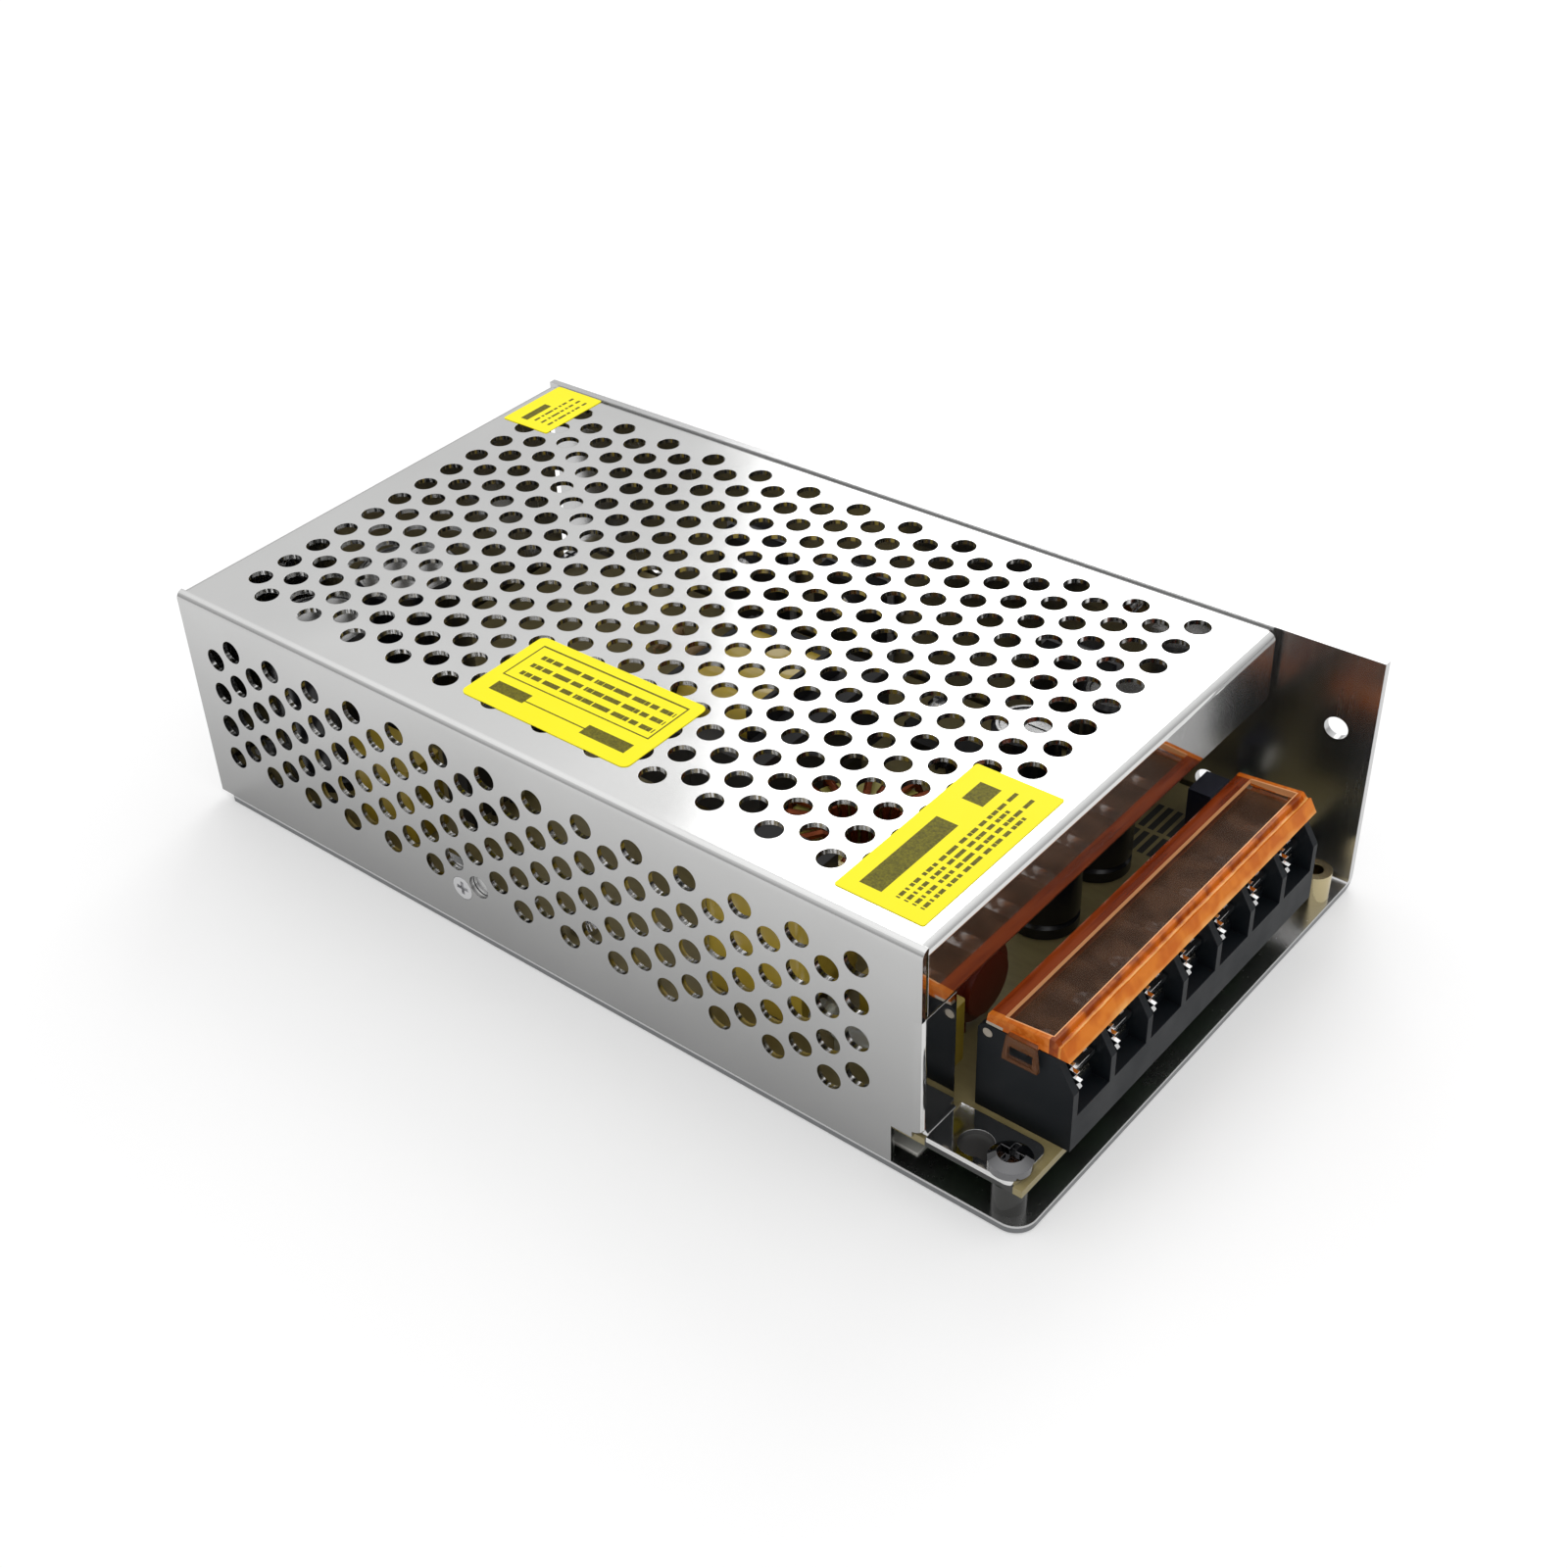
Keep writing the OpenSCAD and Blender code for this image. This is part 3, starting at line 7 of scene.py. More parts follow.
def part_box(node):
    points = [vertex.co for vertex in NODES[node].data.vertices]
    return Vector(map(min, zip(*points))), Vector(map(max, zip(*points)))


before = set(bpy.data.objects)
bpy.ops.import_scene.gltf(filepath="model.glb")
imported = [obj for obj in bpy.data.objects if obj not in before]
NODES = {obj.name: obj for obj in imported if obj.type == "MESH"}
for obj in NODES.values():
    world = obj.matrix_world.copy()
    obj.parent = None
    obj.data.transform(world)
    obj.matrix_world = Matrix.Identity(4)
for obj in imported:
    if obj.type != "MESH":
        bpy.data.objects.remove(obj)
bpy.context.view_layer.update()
MM = 0.001
TERMINALS = range(1, 8)

# Where the top turns down into the front lip, a little behind the cover's front face
LIP_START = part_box("label_front")[1][0] + 2 * MM


# ---------------------------------------------------------------- node materials
class Shader:
    """A principled material and the few node recipes that this scene uses."""

    def __init__(self, name, color, rough, metal=0.0, **sockets):
        self.mat = bpy.data.materials.new(name)
        self.mat.use_nodes = True
        self.tree = self.mat.node_tree
        self.bsdf = self.tree.nodes["Principled BSDF"]
        self.bsdf.inputs["Base Color"].default_value = (*color, 1)
        self.bsdf.inputs["Roughness"].default_value = rough
        self.bsdf.inputs["Metallic"].default_value = metal
        for key, value in sockets.items():
            self.bsdf.inputs[key.replace("_", " ")].default_value = value
        self.coord = self.node("ShaderNodeTexCoord").outputs["Object"]
        self.split = self.node("ShaderNodeSeparateXYZ")
        self.link(self.coord, self.split.inputs[0])
        self.normal = None

    def node(self, kind, **settings):
        n = self.tree.nodes.new(kind)
        for key, value in settings.items():
            setattr(n, key, value)
        return n

    def link(self, source, target):
        """Sets a socket to a number or colour, or links it to another socket."""
        if isinstance(source, (int, float)):
            target.default_value = source
        elif isinstance(source, tuple):
            target.default_value = (*source, 1) if len(source) == 3 else source
        else:
            self.tree.links.new(source, target)

    def math(self, op, a, b=0.0):
        n = self.node("ShaderNodeMath", operation=op)
        self.link(a, n.inputs[0])
        self.link(b, n.inputs[1])
        return n.outputs[0]

    def all_of(self, first, *others):
        """Masks multiplied together."""
        for other in others:
            first = self.math("MULTIPLY", first, other)
        return first

    def any_of(self, first, *others):
        """The largest of several masks."""
        for other in others:
            first = self.math("MAXIMUM", first, other)
        return first

    def outside(self, value, low, high):
        """0 between low and high, else 1."""
        return self.math("SUBTRACT", 1.0, self.span(value, low, high))

    def span(self, value, low, high):
        """1 between low and high, else 0."""
        return self.all_of(
            self.math("GREATER_THAN", value, low), self.math("LESS_THAN", value, high)
        )

    def axis(self, name):
        """The object's own X, Y or Z, in metres."""
        return self.split.outputs[name]

    def stretched(self, x, y, z):
        n = self.node("ShaderNodeMapping")
        n.inputs["Scale"].default_value = (x, y, z)
        self.link(self.coord, n.inputs["Vector"])
        return n.outputs[0]

    def noise(self, scale, detail=4.0, rough=0.55, vector=None):
        n = self.node("ShaderNodeTexNoise")
        n.inputs["Scale"].default_value = scale
        n.inputs["Detail"].default_value = detail
        n.inputs["Roughness"].default_value = rough
        self.link(vector or self.coord, n.inputs["Vector"])
        return n.outputs[0]

    def cells(self, scale):
        """Distance from the edges of scattered cells."""
        n = self.node("ShaderNodeTexVoronoi", feature="DISTANCE_TO_EDGE")
        n.inputs["Scale"].default_value = scale
        self.link(self.coord, n.inputs["Vector"])
        return n.outputs["Distance"]

    def ramp(self, fac, stops):
        n = self.node("ShaderNodeValToRGB")
        elements = n.color_ramp.elements
        while len(elements) < len(stops):
            elements.new(0.5)
        for element, (position, color) in zip(elements, stops):
            element.position = position
            element.color = (*color, 1)
        self.link(fac, n.inputs[0])
        return n.outputs[0]

    def mix(self, fac, a, b):
        n = self.node("ShaderNodeMix", data_type="RGBA")
        self.link(fac, n.inputs[0])
        self.link(a, n.inputs[6])
        self.link(b, n.inputs[7])
        return n.outputs[2]

    def fade(self, value, low, high):
        """Runs from 0 at low to 1 at high."""
        n = self.node("ShaderNodeMapRange")
        n.inputs["From Min"].default_value = low
        n.inputs["From Max"].default_value = high
        self.link(value, n.inputs["Value"])
        return n.outputs[0]

    def remap(self, value, low, high):
        """Scales a value that runs from 0 to 1, so that it runs from low to high."""
        n = self.node("ShaderNodeMapRange")
        n.inputs["To Min"].default_value = low
        n.inputs["To Max"].default_value = high
        self.link(value, n.inputs["Value"])
        return n.outputs[0]

    def source(self, socket):
        """What already feeds a socket of the surface."""
        return self.bsdf.inputs[socket].links[0].from_socket

    def color(self, source):
        self.link(source, self.bsdf.inputs["Base Color"])

    def rough(self, source):
        self.link(source, self.bsdf.inputs["Roughness"])

    def paint(self, mask, color):
        """Lays a colour over the base colour where a mask is 1."""
        self.color(self.mix(mask, self.source("Base Color"), color))

    def bump(self, height, strength, distance):
        n = self.node("ShaderNodeBump")
        n.inputs["Strength"].default_value = strength
        n.inputs["Distance"].default_value = distance
        self.link(height, n.inputs["Height"])
        if self.normal:
            self.link(self.normal, n.inputs["Normal"])
        self.normal = n.outputs[0]
        self.link(self.normal, self.bsdf.inputs["Normal"])
        return n

    def soft_edges(self, radius):
        n = self.node("ShaderNodeBevel", samples=4)
        n.inputs["Radius"].default_value = radius
        self.normal = n.outputs[0]
        self.link(self.normal, self.bsdf.inputs["Normal"])
        return self


def tint(color, k):
    return tuple(min(1.0, c * k) for c in color)


# ---------------------------------------------------------------- metals
ALONG_CASE = (900, 900, 60)
EVEN_GRAIN = (500, 500, 500)


def plated(name, color, rough, grain=EVEN_GRAIN, edge=0.12 * MM, depth=0.02):
    """Bright sheet or plated metal: drawn grain, faint cloudiness and rubbed spots."""
    s = Shader(name, color, rough, 1.0).soft_edges(edge)
    drawn = s.noise(1.0, 3.0, 0.6, s.stretched(*grain))
    cloud = s.noise(35.0, 3.0)
    s.color(s.mix(cloud, tint(color, 0.92), tint(color, 1.05)))
    wear = s.math("ADD", s.math("MULTIPLY", drawn, 0.5), s.math("MULTIPLY", cloud, 0.5))
    s.rough(s.remap(wear, rough * 0.7, rough * 1.4))
    s.relief = s.bump(drawn, depth, 0.02 * MM)
    return s


def cover_shader():
    """Rolled bright sheet: smudged, with painted shade on its side that grows darker to the side's
    foot, and a polished lip.
    """
    grain_depth = 0.02
    lip_gloss = 0.35
    foot_shade, top_shade = 0.44, 0.80
    s = plated("cover_metal", (0.70, 0.70, 0.695), 0.15, ALONG_CASE)
    (_, y0, z0), (_, _, z1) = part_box("mesh_cover")
    lip = s.math("GREATER_THAN", s.axis("X"), LIP_START + 1.2 * MM)
    smudge = s.fade(s.noise(14.0, 4.0, 0.6), 0.45, 0.7)
    worn = s.math("ADD", s.source("Roughness"), s.math("MULTIPLY", smudge, 0.05))
    s.rough(s.math("MULTIPLY", worn, s.remap(lip, 1.0, lip_gloss)))
    # Painted shade: the side sheet is darker than the top, and darker still towards its foot.
    side = s.math("LESS_THAN", s.axis("Y"), y0 + 0.6 * MM)
    shade = s.remap(s.fade(s.axis("Z"), z0, z1 - 1 * MM), foot_shade, top_shade)
    shade = s.math("ADD", s.math("MULTIPLY", side, s.math("SUBTRACT", shade, 1.0)), 1.0)
    s.color(s.mix(shade, (0.0, 0.0, 0.0), s.source("Base Color")))
    s.link(s.remap(lip, grain_depth, 0.0), s.relief.inputs["Strength"])
    return s


def chassis_shader():
    """Plated base and wall: satin inside, with the base sheet painted darker as shade along the
    floor.
    """
    sheet_t = 1.05 * MM
    s = plated("sheet", (0.56, 0.56, 0.56), 0.24, ALONG_CASE, depth=0.004)
    # Painted shade: the base sheet, down by the floor, is laid over in dark grey.
    base = s.math("LESS_THAN", s.axis("Z"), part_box("chassis")[0][2] + sheet_t)
    s.paint(base, (0.20, 0.205, 0.21))
    return s


def pillar_shader():
    """Threaded plated pillars: near-black as painted shade, and brassy by the far wall."""
    far_strip = 12 * MM
    # Painted shade: the pillars are near-black for the shadow under the tab; those by the far wall
    # get a brass colour.
    s = plated("pillar_metal", (0.06, 0.06, 0.058), 0.14)
    far = s.math("GREATER_THAN", s.axis("Y"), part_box("circuit_board")[1][1] - far_strip)
    s.paint(far, (0.52, 0.44, 0.26))
    return s


# ---------------------------------------------------------------- plastic and resin
def moulded(name, color, rough, scale=2500.0, strength=0.12, **sockets):
    """Moulded plastic or resin: fine skin, soft edges and slight tone change."""
    s = Shader(name, color, rough, **sockets).soft_edges(0.15 * MM)
    cloud = s.noise(120.0, 2.0)
    s.color(s.mix(cloud, tint(color, 0.85), tint(color, 1.15)))
    s.rough(s.remap(cloud, rough * 0.8, min(1.0, rough * 1.25)))
    s.bump(s.noise(scale, 3.0), strength, 0.03 * MM)
    return s


# ---------------------------------------------------------------- stickers
def place(node, axis, low, high):
    """Shares of a node's box along an axis, turned into coordinates."""
    a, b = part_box(node)
    return a[axis] + low * (b[axis] - a[axis]), a[axis] + high * (b[axis] - a[axis])


def patch(s, node, x, y):
    """1 inside a rectangle given as shares of a node's box, seen from above."""
    return s.all_of(
        s.span(s.axis("X"), *place(node, 0, *x)), s.span(s.axis("Y"), *place(node, 1, *y))
    )


def dashes(s, along):
    """Breaks a printed line into short dashes along one axis."""
    n = s.node("ShaderNodeTexNoise", noise_dimensions="1D")
    n.inputs["Scale"].default_value = 900.0
    n.inputs["Detail"].default_value = 1.0
    s.link(s.axis(along), n.inputs["W"])
    return s.math("GREATER_THAN", n.outputs[0], 0.42)


def sticker(name, node, bars, lines, along, frame_lines=()):
    """Printed sticker: thick bars, fine broken lines and thin frame lines in dark ink."""
    s = Shader(name, (0.95, 0.84, 0.012), 0.42, Specular_IOR_Level=0.12)
    broken = dashes(s, along)
    whole = [patch(s, node, x, y) for x, y in (*bars, *frame_lines)]
    fine = [s.all_of(patch(s, node, x, y), broken) for x, y in lines]
    ink = s.any_of(*whole, *fine)
    worn = s.math("MULTIPLY", ink, s.remap(s.noise(2500.0, 2.0), 0.75, 1.0))
    ground = s.mix(s.noise(60.0, 3.0), (0.95, 0.82, 0.008), (0.97, 0.88, 0.02))
    s.color(s.mix(worn, ground, (0.018, 0.016, 0.004)))
    s.bump(s.noise(180.0, 2.0), 0.06, 0.04 * MM)
    return s


def front_print():
    fine_rows = (0.56, 0.65, 0.74, 0.83)
    lines = [((x, x + 0.045), (0.08, 0.92 - 0.12 * (i % 2))) for i, x in enumerate(fine_rows)]
    bars = [((0.17, 0.42), (0.07, 0.60)), ((0.20, 0.44), (0.76, 0.90))]
    return sticker("front_print", "label_front", bars, lines, "Y")


def middle_print():
    lines = [((0.12, 0.92), (y, y + 0.055)) for y in (0.47, 0.60, 0.73)]
    bars = [((0.09, 0.30), (0.17, 0.30)), ((0.66, 0.92), (0.14, 0.27))]
    frame_lines = [
        ((0.06, 0.94), (0.88, 0.90)),
        ((0.06, 0.94), (0.39, 0.405)),
        ((0.06, 0.068), (0.39, 0.90)),
        ((0.932, 0.94), (0.39, 0.90)),
        ((0.30, 0.66), (0.20, 0.215)),
    ]
    return sticker("middle_print", "label_middle", bars, lines, "X", frame_lines)


def rear_print():
    lines = [((x, x + 0.05), (0.12, 0.85)) for x in (0.5, 0.65, 0.8)]
    return sticker("rear_print", "label_rear", [((0.25, 0.40), (0.12, 0.55))], lines, "Y")


# ---------------------------------------------------------------- terminal cover
def rim_bands(s, run, band, ridge, face, edge, top):
    """Colours across the front rim: sunk band, ridge with a painted highlight, front face, and its
    edge with a painted highlight.
    """
    # Painted highlights: the ridge and the bottom edge get pale gold bands.
    stops = [(0.0, band), (0.40, top), (0.50, ridge)]
    stops += [(0.58, face[0]), (0.88, face[1]), (1.0, edge)]
    return s.ramp(run, stops)


def lid_shader():
    """Clear amber moulding: banded bright rims with painted highlights and patches of painted light
    and shade, a brown sunk panel with painted highlight lines along its edges, and a painted glint
    on the hinge pins.
    """
    front_rim, rear_rim, end_rim = 3.8 * MM, 4.4 * MM, 2.5 * MM
    catch_out = 1.1 * MM
    pin_depth, line_depth = 2.6 * MM, 1.6 * MM
    s = Shader(
        "amber", (0.6, 0.3, 0.1), 0.09, Transmission_Weight=0.8, IOR=1.32,
        Specular_IOR_Level=0.35, Specular_Tint=(1.0, 0.55, 0.3, 1.0),
    )
    (x0, y0, _), (x1, y1, z1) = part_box("terminal_cover")
    x, y, z = s.axis("X"), s.axis("Y"), s.axis("Z")
    panel_x0, panel_x1 = x0 + rear_rim, x1 - front_rim
    panel_y0, panel_y1 = y0 + end_rim, y1 - end_rim
    front = s.math("GREATER_THAN", x, panel_x1)
    rear = s.math("LESS_THAN", x, panel_x0)
    ends = s.outside(y, panel_y0, panel_y1)
    catch = s.outside(y, y0 + catch_out, y1 - catch_out)
    pin_glint = s.all_of(ends, rear, s.math("LESS_THAN", z, z1 - pin_depth))

    streak = s.fade(s.noise(1.0, 2.0, 0.5, s.stretched(900, 60, 900)), 0.4, 0.6)
    block = s.fade(s.noise(1.0, 2.0, 0.5, s.stretched(200, 230, 200)), 0.42, 0.6)
    patchy = s.fade(s.noise(1.0, 2.0, 0.4, s.stretched(180, 260, 180)), 0.45, 0.6)
    wobble = s.remap(s.noise(1.0, 2.0, 0.5, s.stretched(150, 150, 150)), -0.25, 0.25)
    run = s.math("ADD", s.fade(x, panel_x1, x1), s.math("MULTIPLY", wobble, 0.5))
    # Painted light and shade: a bright and a dull copy of the rim bands, laid in patches by the
    # block noise.
    bright = rim_bands(
        s, run, band=(0.66, 0.14, 0.008), top=(0.80, 0.20, 0.014), ridge=(1.0, 0.58, 0.19),
        face=((0.85, 0.24, 0.02), (0.86, 0.26, 0.025)), edge=(1.0, 0.50, 0.14),
    )
    dull = rim_bands(
        s, run, band=(0.20, 0.030, 0.003), top=(0.36, 0.060, 0.005), ridge=(0.90, 0.36, 0.07),
        face=((0.66, 0.15, 0.010), (0.72, 0.17, 0.012)), edge=(0.92, 0.36, 0.07),
    )
    c = s.mix(patchy, (0.072, 0.033, 0.016), (0.125, 0.060, 0.031))
    c = s.mix(rear, c, s.mix(streak, (0.20, 0.026, 0.004), (0.34, 0.055, 0.009)))
    c = s.mix(ends, c, s.mix(streak, (0.66, 0.145, 0.010), (0.80, 0.23, 0.03)))
    c = s.mix(front, c, s.mix(block, bright, dull))
    c = s.mix(catch, c, (0.16, 0.06, 0.02))
    # Painted highlight: the hinge pins are pale, a glint on their ends.
    c = s.mix(pin_glint, c, (0.55, 0.50, 0.42))

    # Painted highlights: pale lines along the sunk panel's edges, near its top.
    long_highlight_lines = s.all_of(
        s.any_of(
            s.span(x, panel_x1 - 0.05 * MM, panel_x1 + 0.40 * MM),
            s.span(x, panel_x0 - 0.2 * MM, panel_x0 + 0.1 * MM),
        ),
        s.span(y, panel_y0 - 0.3 * MM, panel_y1 + 0.3 * MM),
    )
    end_highlight_lines = s.math(
        "SUBTRACT",
        s.span(y, panel_y0 - 0.35 * MM, panel_y1 + 0.35 * MM),
        s.span(y, panel_y0, panel_y1),
    )
    end_highlight_lines = s.all_of(end_highlight_lines, s.span(x, panel_x0, panel_x1))
    line = s.all_of(
        s.any_of(long_highlight_lines, end_highlight_lines), s.math("GREATER_THAN", z, z1 - line_depth)
    )
    s.color(s.mix(line, c, (1.0, 0.50, 0.22)))

    rim = s.any_of(front, ends, s.math("MULTIPLY", rear, 0.8))
    rim = s.any_of(s.math("SUBTRACT", rim, s.math("MULTIPLY", catch, 0.8)), line)
    s.link(s.remap(rim, 0.10, 0.25), s.bsdf.inputs["Transmission Weight"])
    s.link(s.remap(rim, 0.50, 1.0), s.bsdf.inputs["Alpha"])
    s.rough(s.remap(s.noise(160.0, 3.0), 0.085, 0.12))
    return s


# ---------------------------------------------------------------- circuit board
def board_bars(s, x1, y1):
    """Two rows of five printed bars, by the adjustment."""
    count, pitch, width = 5, 2.0 * MM, 1.25 * MM
    first = x1 - 34 * MM
    row = y1 - 23 * MM
    bars = [s.span(s.axis("X"), first + i * pitch, first + i * pitch + width) for i in range(count)]
    rows = s.any_of(
        s.span(s.axis("Y"), row, row + 6.2 * MM),
        s.span(s.axis("Y"), row + 7.2 * MM, row + 15 * MM),
    )
    return s.all_of(s.any_of(*bars), rows)


def board_mark(s, x1, y1, back, side, width, length):
    """One small printed mark, back and side from the board's front far corner."""
    x, y = x1 - back * MM, y1 - side * MM
    return s.all_of(
        s.span(s.axis("X"), x, x + width * MM), s.span(s.axis("Y"), y, y + length * MM)
    )


def board_shader():
    """Phenolic board: tan top with dark print and painted shade under the foot tab, lacquered
    copper below.
    """
    tab_shade_w = 9.4 * MM
    s = Shader("board_face", (0.2, 0.16, 0.08), 0.45)
    (_, _, z0), (x1, y1, _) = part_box("circuit_board")
    (_, cover_y0, _), (tab_end, _, _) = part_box("mesh_cover")
    paper = s.noise(1.0, 4.0, 0.6, s.stretched(260, 900, 900))
    ink = s.any_of(
        board_bars(s, x1, y1),
        board_mark(s, x1, y1, 34.5, 67, 1.0, 3.0),
        board_mark(s, x1, y1, 32.5, 66, 2.2, 1.0),
        board_mark(s, x1, y1, 36.0, 48, 1.0, 2.6),
    )
    # Painted shade: a near-black patch on the board under the foot tab, seen through its keyhole.
    tab_shade = s.all_of(
        s.span(s.axis("X"), LIP_START + 1.5 * MM, tab_end - 0.4 * MM),
        s.math("LESS_THAN", s.axis("Y"), cover_y0 + tab_shade_w),
    )
    track = s.math("GREATER_THAN", s.cells(70.0), 0.12)
    under = s.math("LESS_THAN", s.axis("Z"), z0 + 0.1 * MM)
    c = s.mix(paper, (0.20, 0.16, 0.065), (0.31, 0.255, 0.115))
    c = s.mix(ink, c, (0.02, 0.018, 0.014))
    c = s.mix(tab_shade, c, (0.022, 0.021, 0.02))
    s.color(s.mix(under, c, s.mix(track, (0.006, 0.012, 0.006), (0.012, 0.03, 0.011))))
    s.rough(s.remap(paper, 0.35, 0.55))
    s.bump(paper, 0.1, 0.03 * MM)
    return s


# ---------------------------------------------------------------- parts on the board
def can_shader():
    """Capacitor sleeve: black, with a grey stripe and a bare metal top."""
    s = Shader("sleeve", (0.01, 0.01, 0.012), 0.22).soft_edges(0.1 * MM)
    can_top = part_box("output_capacitors")[1][2]
    faces = s.node("ShaderNodeSeparateXYZ")
    s.link(s.node("ShaderNodeNewGeometry").outputs["True Normal"], faces.inputs[0])
    top = s.all_of(
        s.math("GREATER_THAN", faces.outputs["Z"], 0.9),
        s.math("GREATER_THAN", s.axis("Z"), can_top - 1 * MM),
    )
    stripe = s.math("GREATER_THAN", faces.outputs["Y"], 0.93)
    c = s.mix(stripe, (0.01, 0.01, 0.013), (0.32, 0.32, 0.33))
    s.color(s.mix(top, c, (0.6, 0.6, 0.6)))
    s.link(top, s.bsdf.inputs["Metallic"])
    s.rough(s.remap(s.noise(200.0, 2.0), 0.18, 0.3))
    s.bump(s.noise(1.0, 2.0, 0.5, s.stretched(60, 60, 500)), 0.1, 0.05 * MM)
    return s


def tape_shader():
    """Yellow polyester tape wound in overlapping turns, with the odd wrinkle."""
    s = Shader("tape", (0.75, 0.53, 0.06), 0.2, Coat_Weight=0.4).soft_edges(0.3 * MM)
    wrap = s.noise(1.0, 3.0, 0.6, s.stretched(40, 500, 40))
    s.color(s.mix(wrap, (0.62, 0.42, 0.04), (0.85, 0.64, 0.10)))
    s.rough(s.remap(wrap, 0.12, 0.32))
    s.bump(wrap, 0.3, 0.15 * MM)
    return s


# ---------------------------------------------------------------- materials on the nodes
def dress(shader, *names):
    """Gives CAD nodes a material."""
    for name in names:
        mesh = NODES[name].data
        mesh.materials.clear()
        mesh.materials.append(shader.mat)
        for p in mesh.polygons:
            p.material_index = 0


def dress_metals():
    terminal_screws = [f"terminal_screw_{i}" for i in TERMINALS]
    clamp_plates = [f"clamp_plate_{i}" for i in TERMINALS]
    screws = ["cover_screws", "board_screws", "transistor_screws", *terminal_screws]
    dress(chassis_shader(), "chassis")
    dress(cover_shader(), "mesh_cover")
    dress(pillar_shader(), "pillars")
    dress(plated("steel", (0.62, 0.62, 0.63), 0.09, (600, 600, 600), 0.2 * MM), *screws)
    # Painted reflection: the tab screw's chrome is given a dark colour for the dark surroundings it
    # reflects.
    dress(
        plated("chrome_with_painted_dark_reflection", (0.17, 0.17, 0.175), 0.07, (400, 400, 400), 0.2 * MM), "tab_screw"
    )
    dress(plated("tinned", (0.80, 0.77, 0.66), 0.24), "terminal_contacts", "fuse_clips")
    dress(plated("chrome", (0.93, 0.93, 0.93), 0.1), *clamp_plates)


def dress_plastics():
    black = moulded(
        "black_plastic", (0.0045, 0.0065, 0.009), 0.5, 900.0, 0.015, Specular_IOR_Level=0.2
    )
    dress(black, "terminal_block")
    dress(moulded("film", (0.75, 0.74, 0.68), 0.5), "insulating_sheet")
    dress(moulded("trimmer_plastic", (0.012, 0.014, 0.03), 0.3), "trimmer_body")
    dress(moulded("white_plastic", (0.8, 0.79, 0.74), 0.35), "trimmer_rotor")
    lens = moulded("lens", (0.32, 0.42, 0.3), 0.15, Transmission_Weight=0.6)
    dress(lens, "indicator_led")
    dress(moulded("glass", (0.85, 0.9, 0.9), 0.08, Transmission_Weight=0.8), "fuse")
    dress(lid_shader(), "terminal_cover")


def dress_board_parts():
    resin, ceramic = 1800.0, 700.0
    dress(board_shader(), "circuit_board")
    dress(moulded("green_disc", (0.02, 0.045, 0.03), 0.4, ceramic, 0.3), "thermistor")
    dress(moulded("brown_disc", (0.16, 0.02, 0.008), 0.35, ceramic, 0.3), "varistor")
    dress(moulded("blue_disc", (0.02, 0.07, 0.22), 0.35, ceramic, 0.3), "y_capacitors")
    boxes = moulded("yellow_box", (0.45, 0.32, 0.03), 0.35)
    dress(boxes, "x_capacitor", "coupling_capacitor")
    ferrite = moulded("ferrite", (0.03, 0.03, 0.033), 0.5, 1500.0, 0.3)
    dress(ferrite, "filter_core", "transformer_core")
    dress(tape_shader(), "filter_winding", "drive_transformer", "transformer_winding")
    epoxy = moulded("epoxy", (0.012, 0.012, 0.013), 0.5, resin, 0.3)
    dress(epoxy, "bridge_rectifier", "switching_transistors", "output_rectifier")
    dress(epoxy, "control_chip", "transformer_bobbin")
    dress(can_shader(), "bulk_capacitors", "output_capacitors")
    dress(moulded("pad", (0.42, 0.42, 0.44), 0.7, 1200.0), "insulating_pads")
    dress(moulded("core_paint", (0.5, 0.45, 0.1), 0.4), "choke_core")
    dress(moulded("enamel", (0.28, 0.06, 0.015), 0.2, 400.0, Metallic=0.6), "choke_winding")
    dress(moulded("resistor_paint", (0.5, 0.34, 0.18), 0.4), "resistors")


def dress_stickers():
    dress(front_print(), "label_front")
    dress(middle_print(), "label_middle")
    dress(rear_print(), "label_rear")


# ---------------------------------------------------------------- floor, light and camera
def floor():
    """Pale paper with a little glow of its own, which softens the shadow."""
    s = Shader(
        "floor_paper", (0.7, 0.7, 0.7), 0.6, Emission_Color=(1, 1, 1, 1), Emission_Strength=0.26
    )
    s.color(s.mix(s.noise(3.0, 2.0), (0.69, 0.69, 0.69), (0.71, 0.71, 0.71)))
    bpy.ops.mesh.primitive_plane_add(size=8, location=(0, 0, -0.2 * MM))
    o = bpy.context.object
    o.name = "floor"
    o.data.materials.append(s.mat)


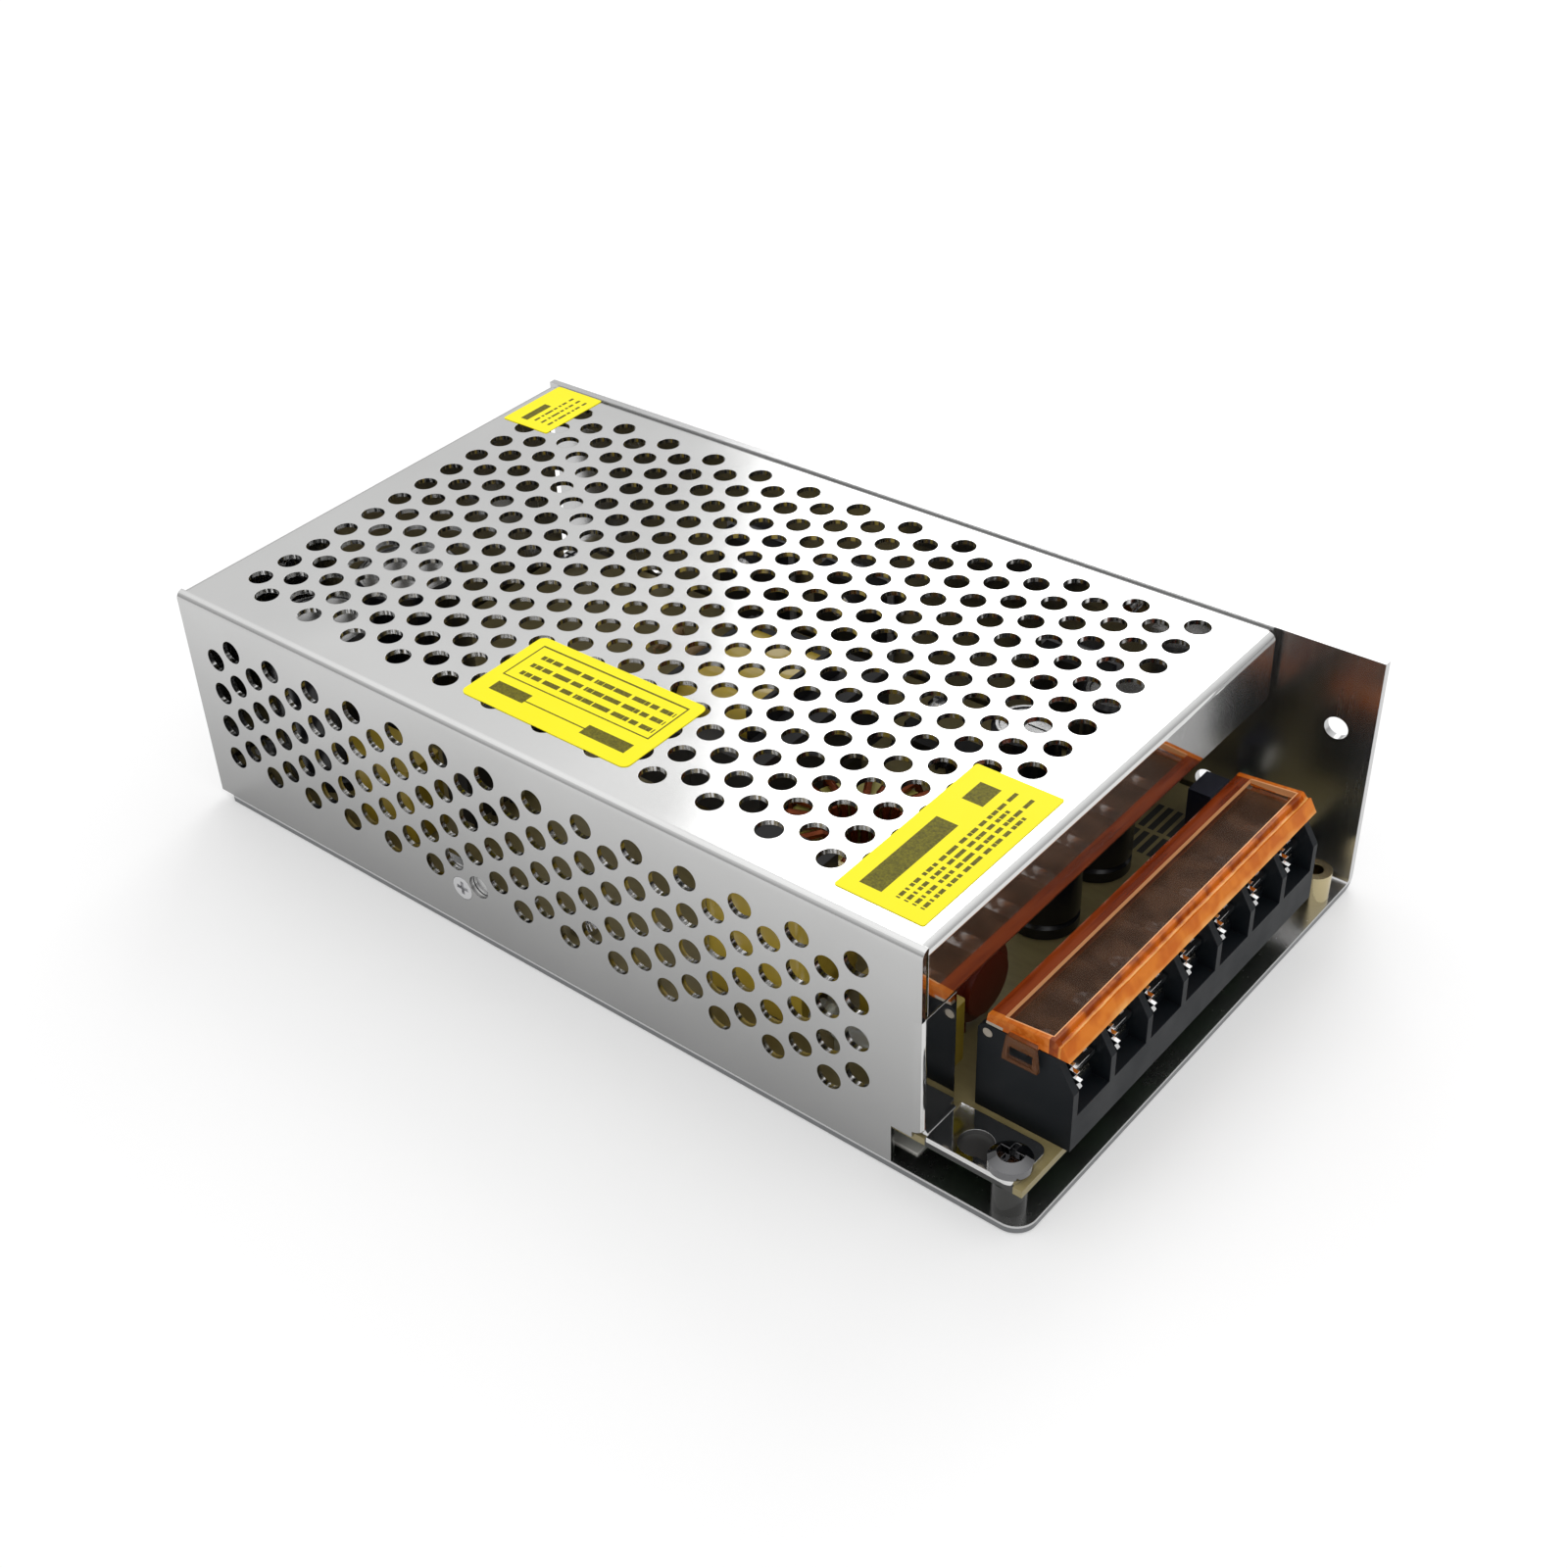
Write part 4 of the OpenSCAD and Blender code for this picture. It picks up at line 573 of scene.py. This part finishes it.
def softbox(name, location, target, side, watts):
    """Square soft lamp aimed at a point."""
    data = bpy.data.lights.new(name, "AREA")
    data.shape = "RECTANGLE"
    data.size = data.size_y = side
    data.energy = watts
    o = bpy.data.objects.new(name, data)
    o.location = location
    o.rotation_euler = (Vector(target) - Vector(location)).to_track_quat("-Z", "Y").to_euler()
    bpy.context.scene.collection.objects.link(o)


def sky():
    """White studio dome, dimmer towards the horizon."""
    low_z, high_z = 0.25, 0.95
    low_strength, high_strength = 0.55, 1.30
    world = bpy.data.worlds.new("studio")
    world.use_nodes = True
    tree = world.node_tree
    back = tree.nodes["Background"]
    back.inputs["Color"].default_value = (1, 1, 1, 1)
    coord = tree.nodes.new("ShaderNodeTexCoord")
    split = tree.nodes.new("ShaderNodeSeparateXYZ")
    height = tree.nodes.new("ShaderNodeMapRange")
    height.inputs["From Min"].default_value = low_z
    height.inputs["From Max"].default_value = high_z
    height.inputs["To Min"].default_value = low_strength
    height.inputs["To Max"].default_value = high_strength
    tree.links.new(coord.outputs["Generated"], split.inputs[0])
    tree.links.new(split.outputs["Z"], height.inputs["Value"])
    tree.links.new(height.outputs[0], back.inputs["Strength"])
    bpy.context.scene.world = world


def camera():
    """The photograph's view: near the terminal end, looking down along the case."""
    location = Vector((0.2150, -0.2493, 0.2589))
    forward = Vector((-0.5653, 0.5542, -0.6110)).normalized()
    rough_up = Vector((-0.3645, 0.4967, 0.7877))
    data = bpy.data.cameras.new("camera")
    data.sensor_width = 36
    data.lens = 48.15
    data.shift_x = 0.1097
    data.shift_y = 0.0276
    data.clip_start = 0.01
    o = bpy.data.objects.new("camera", data)
    right = forward.cross(rough_up).normalized()
    up = right.cross(forward)
    m = Matrix((right, up, -forward)).transposed().to_4x4()
    m.translation = location
    o.matrix_world = m
    bpy.context.scene.collection.objects.link(o)
    bpy.context.scene.camera = o


dress_metals()
dress_plastics()
dress_board_parts()
dress_stickers()
floor()
sky()
softbox("back_panel", (-0.50, 1.10, 0.95), (0, 0, 0.02), 0.7, 4)
camera()
bpy.context.scene.view_settings.view_transform = "Standard"
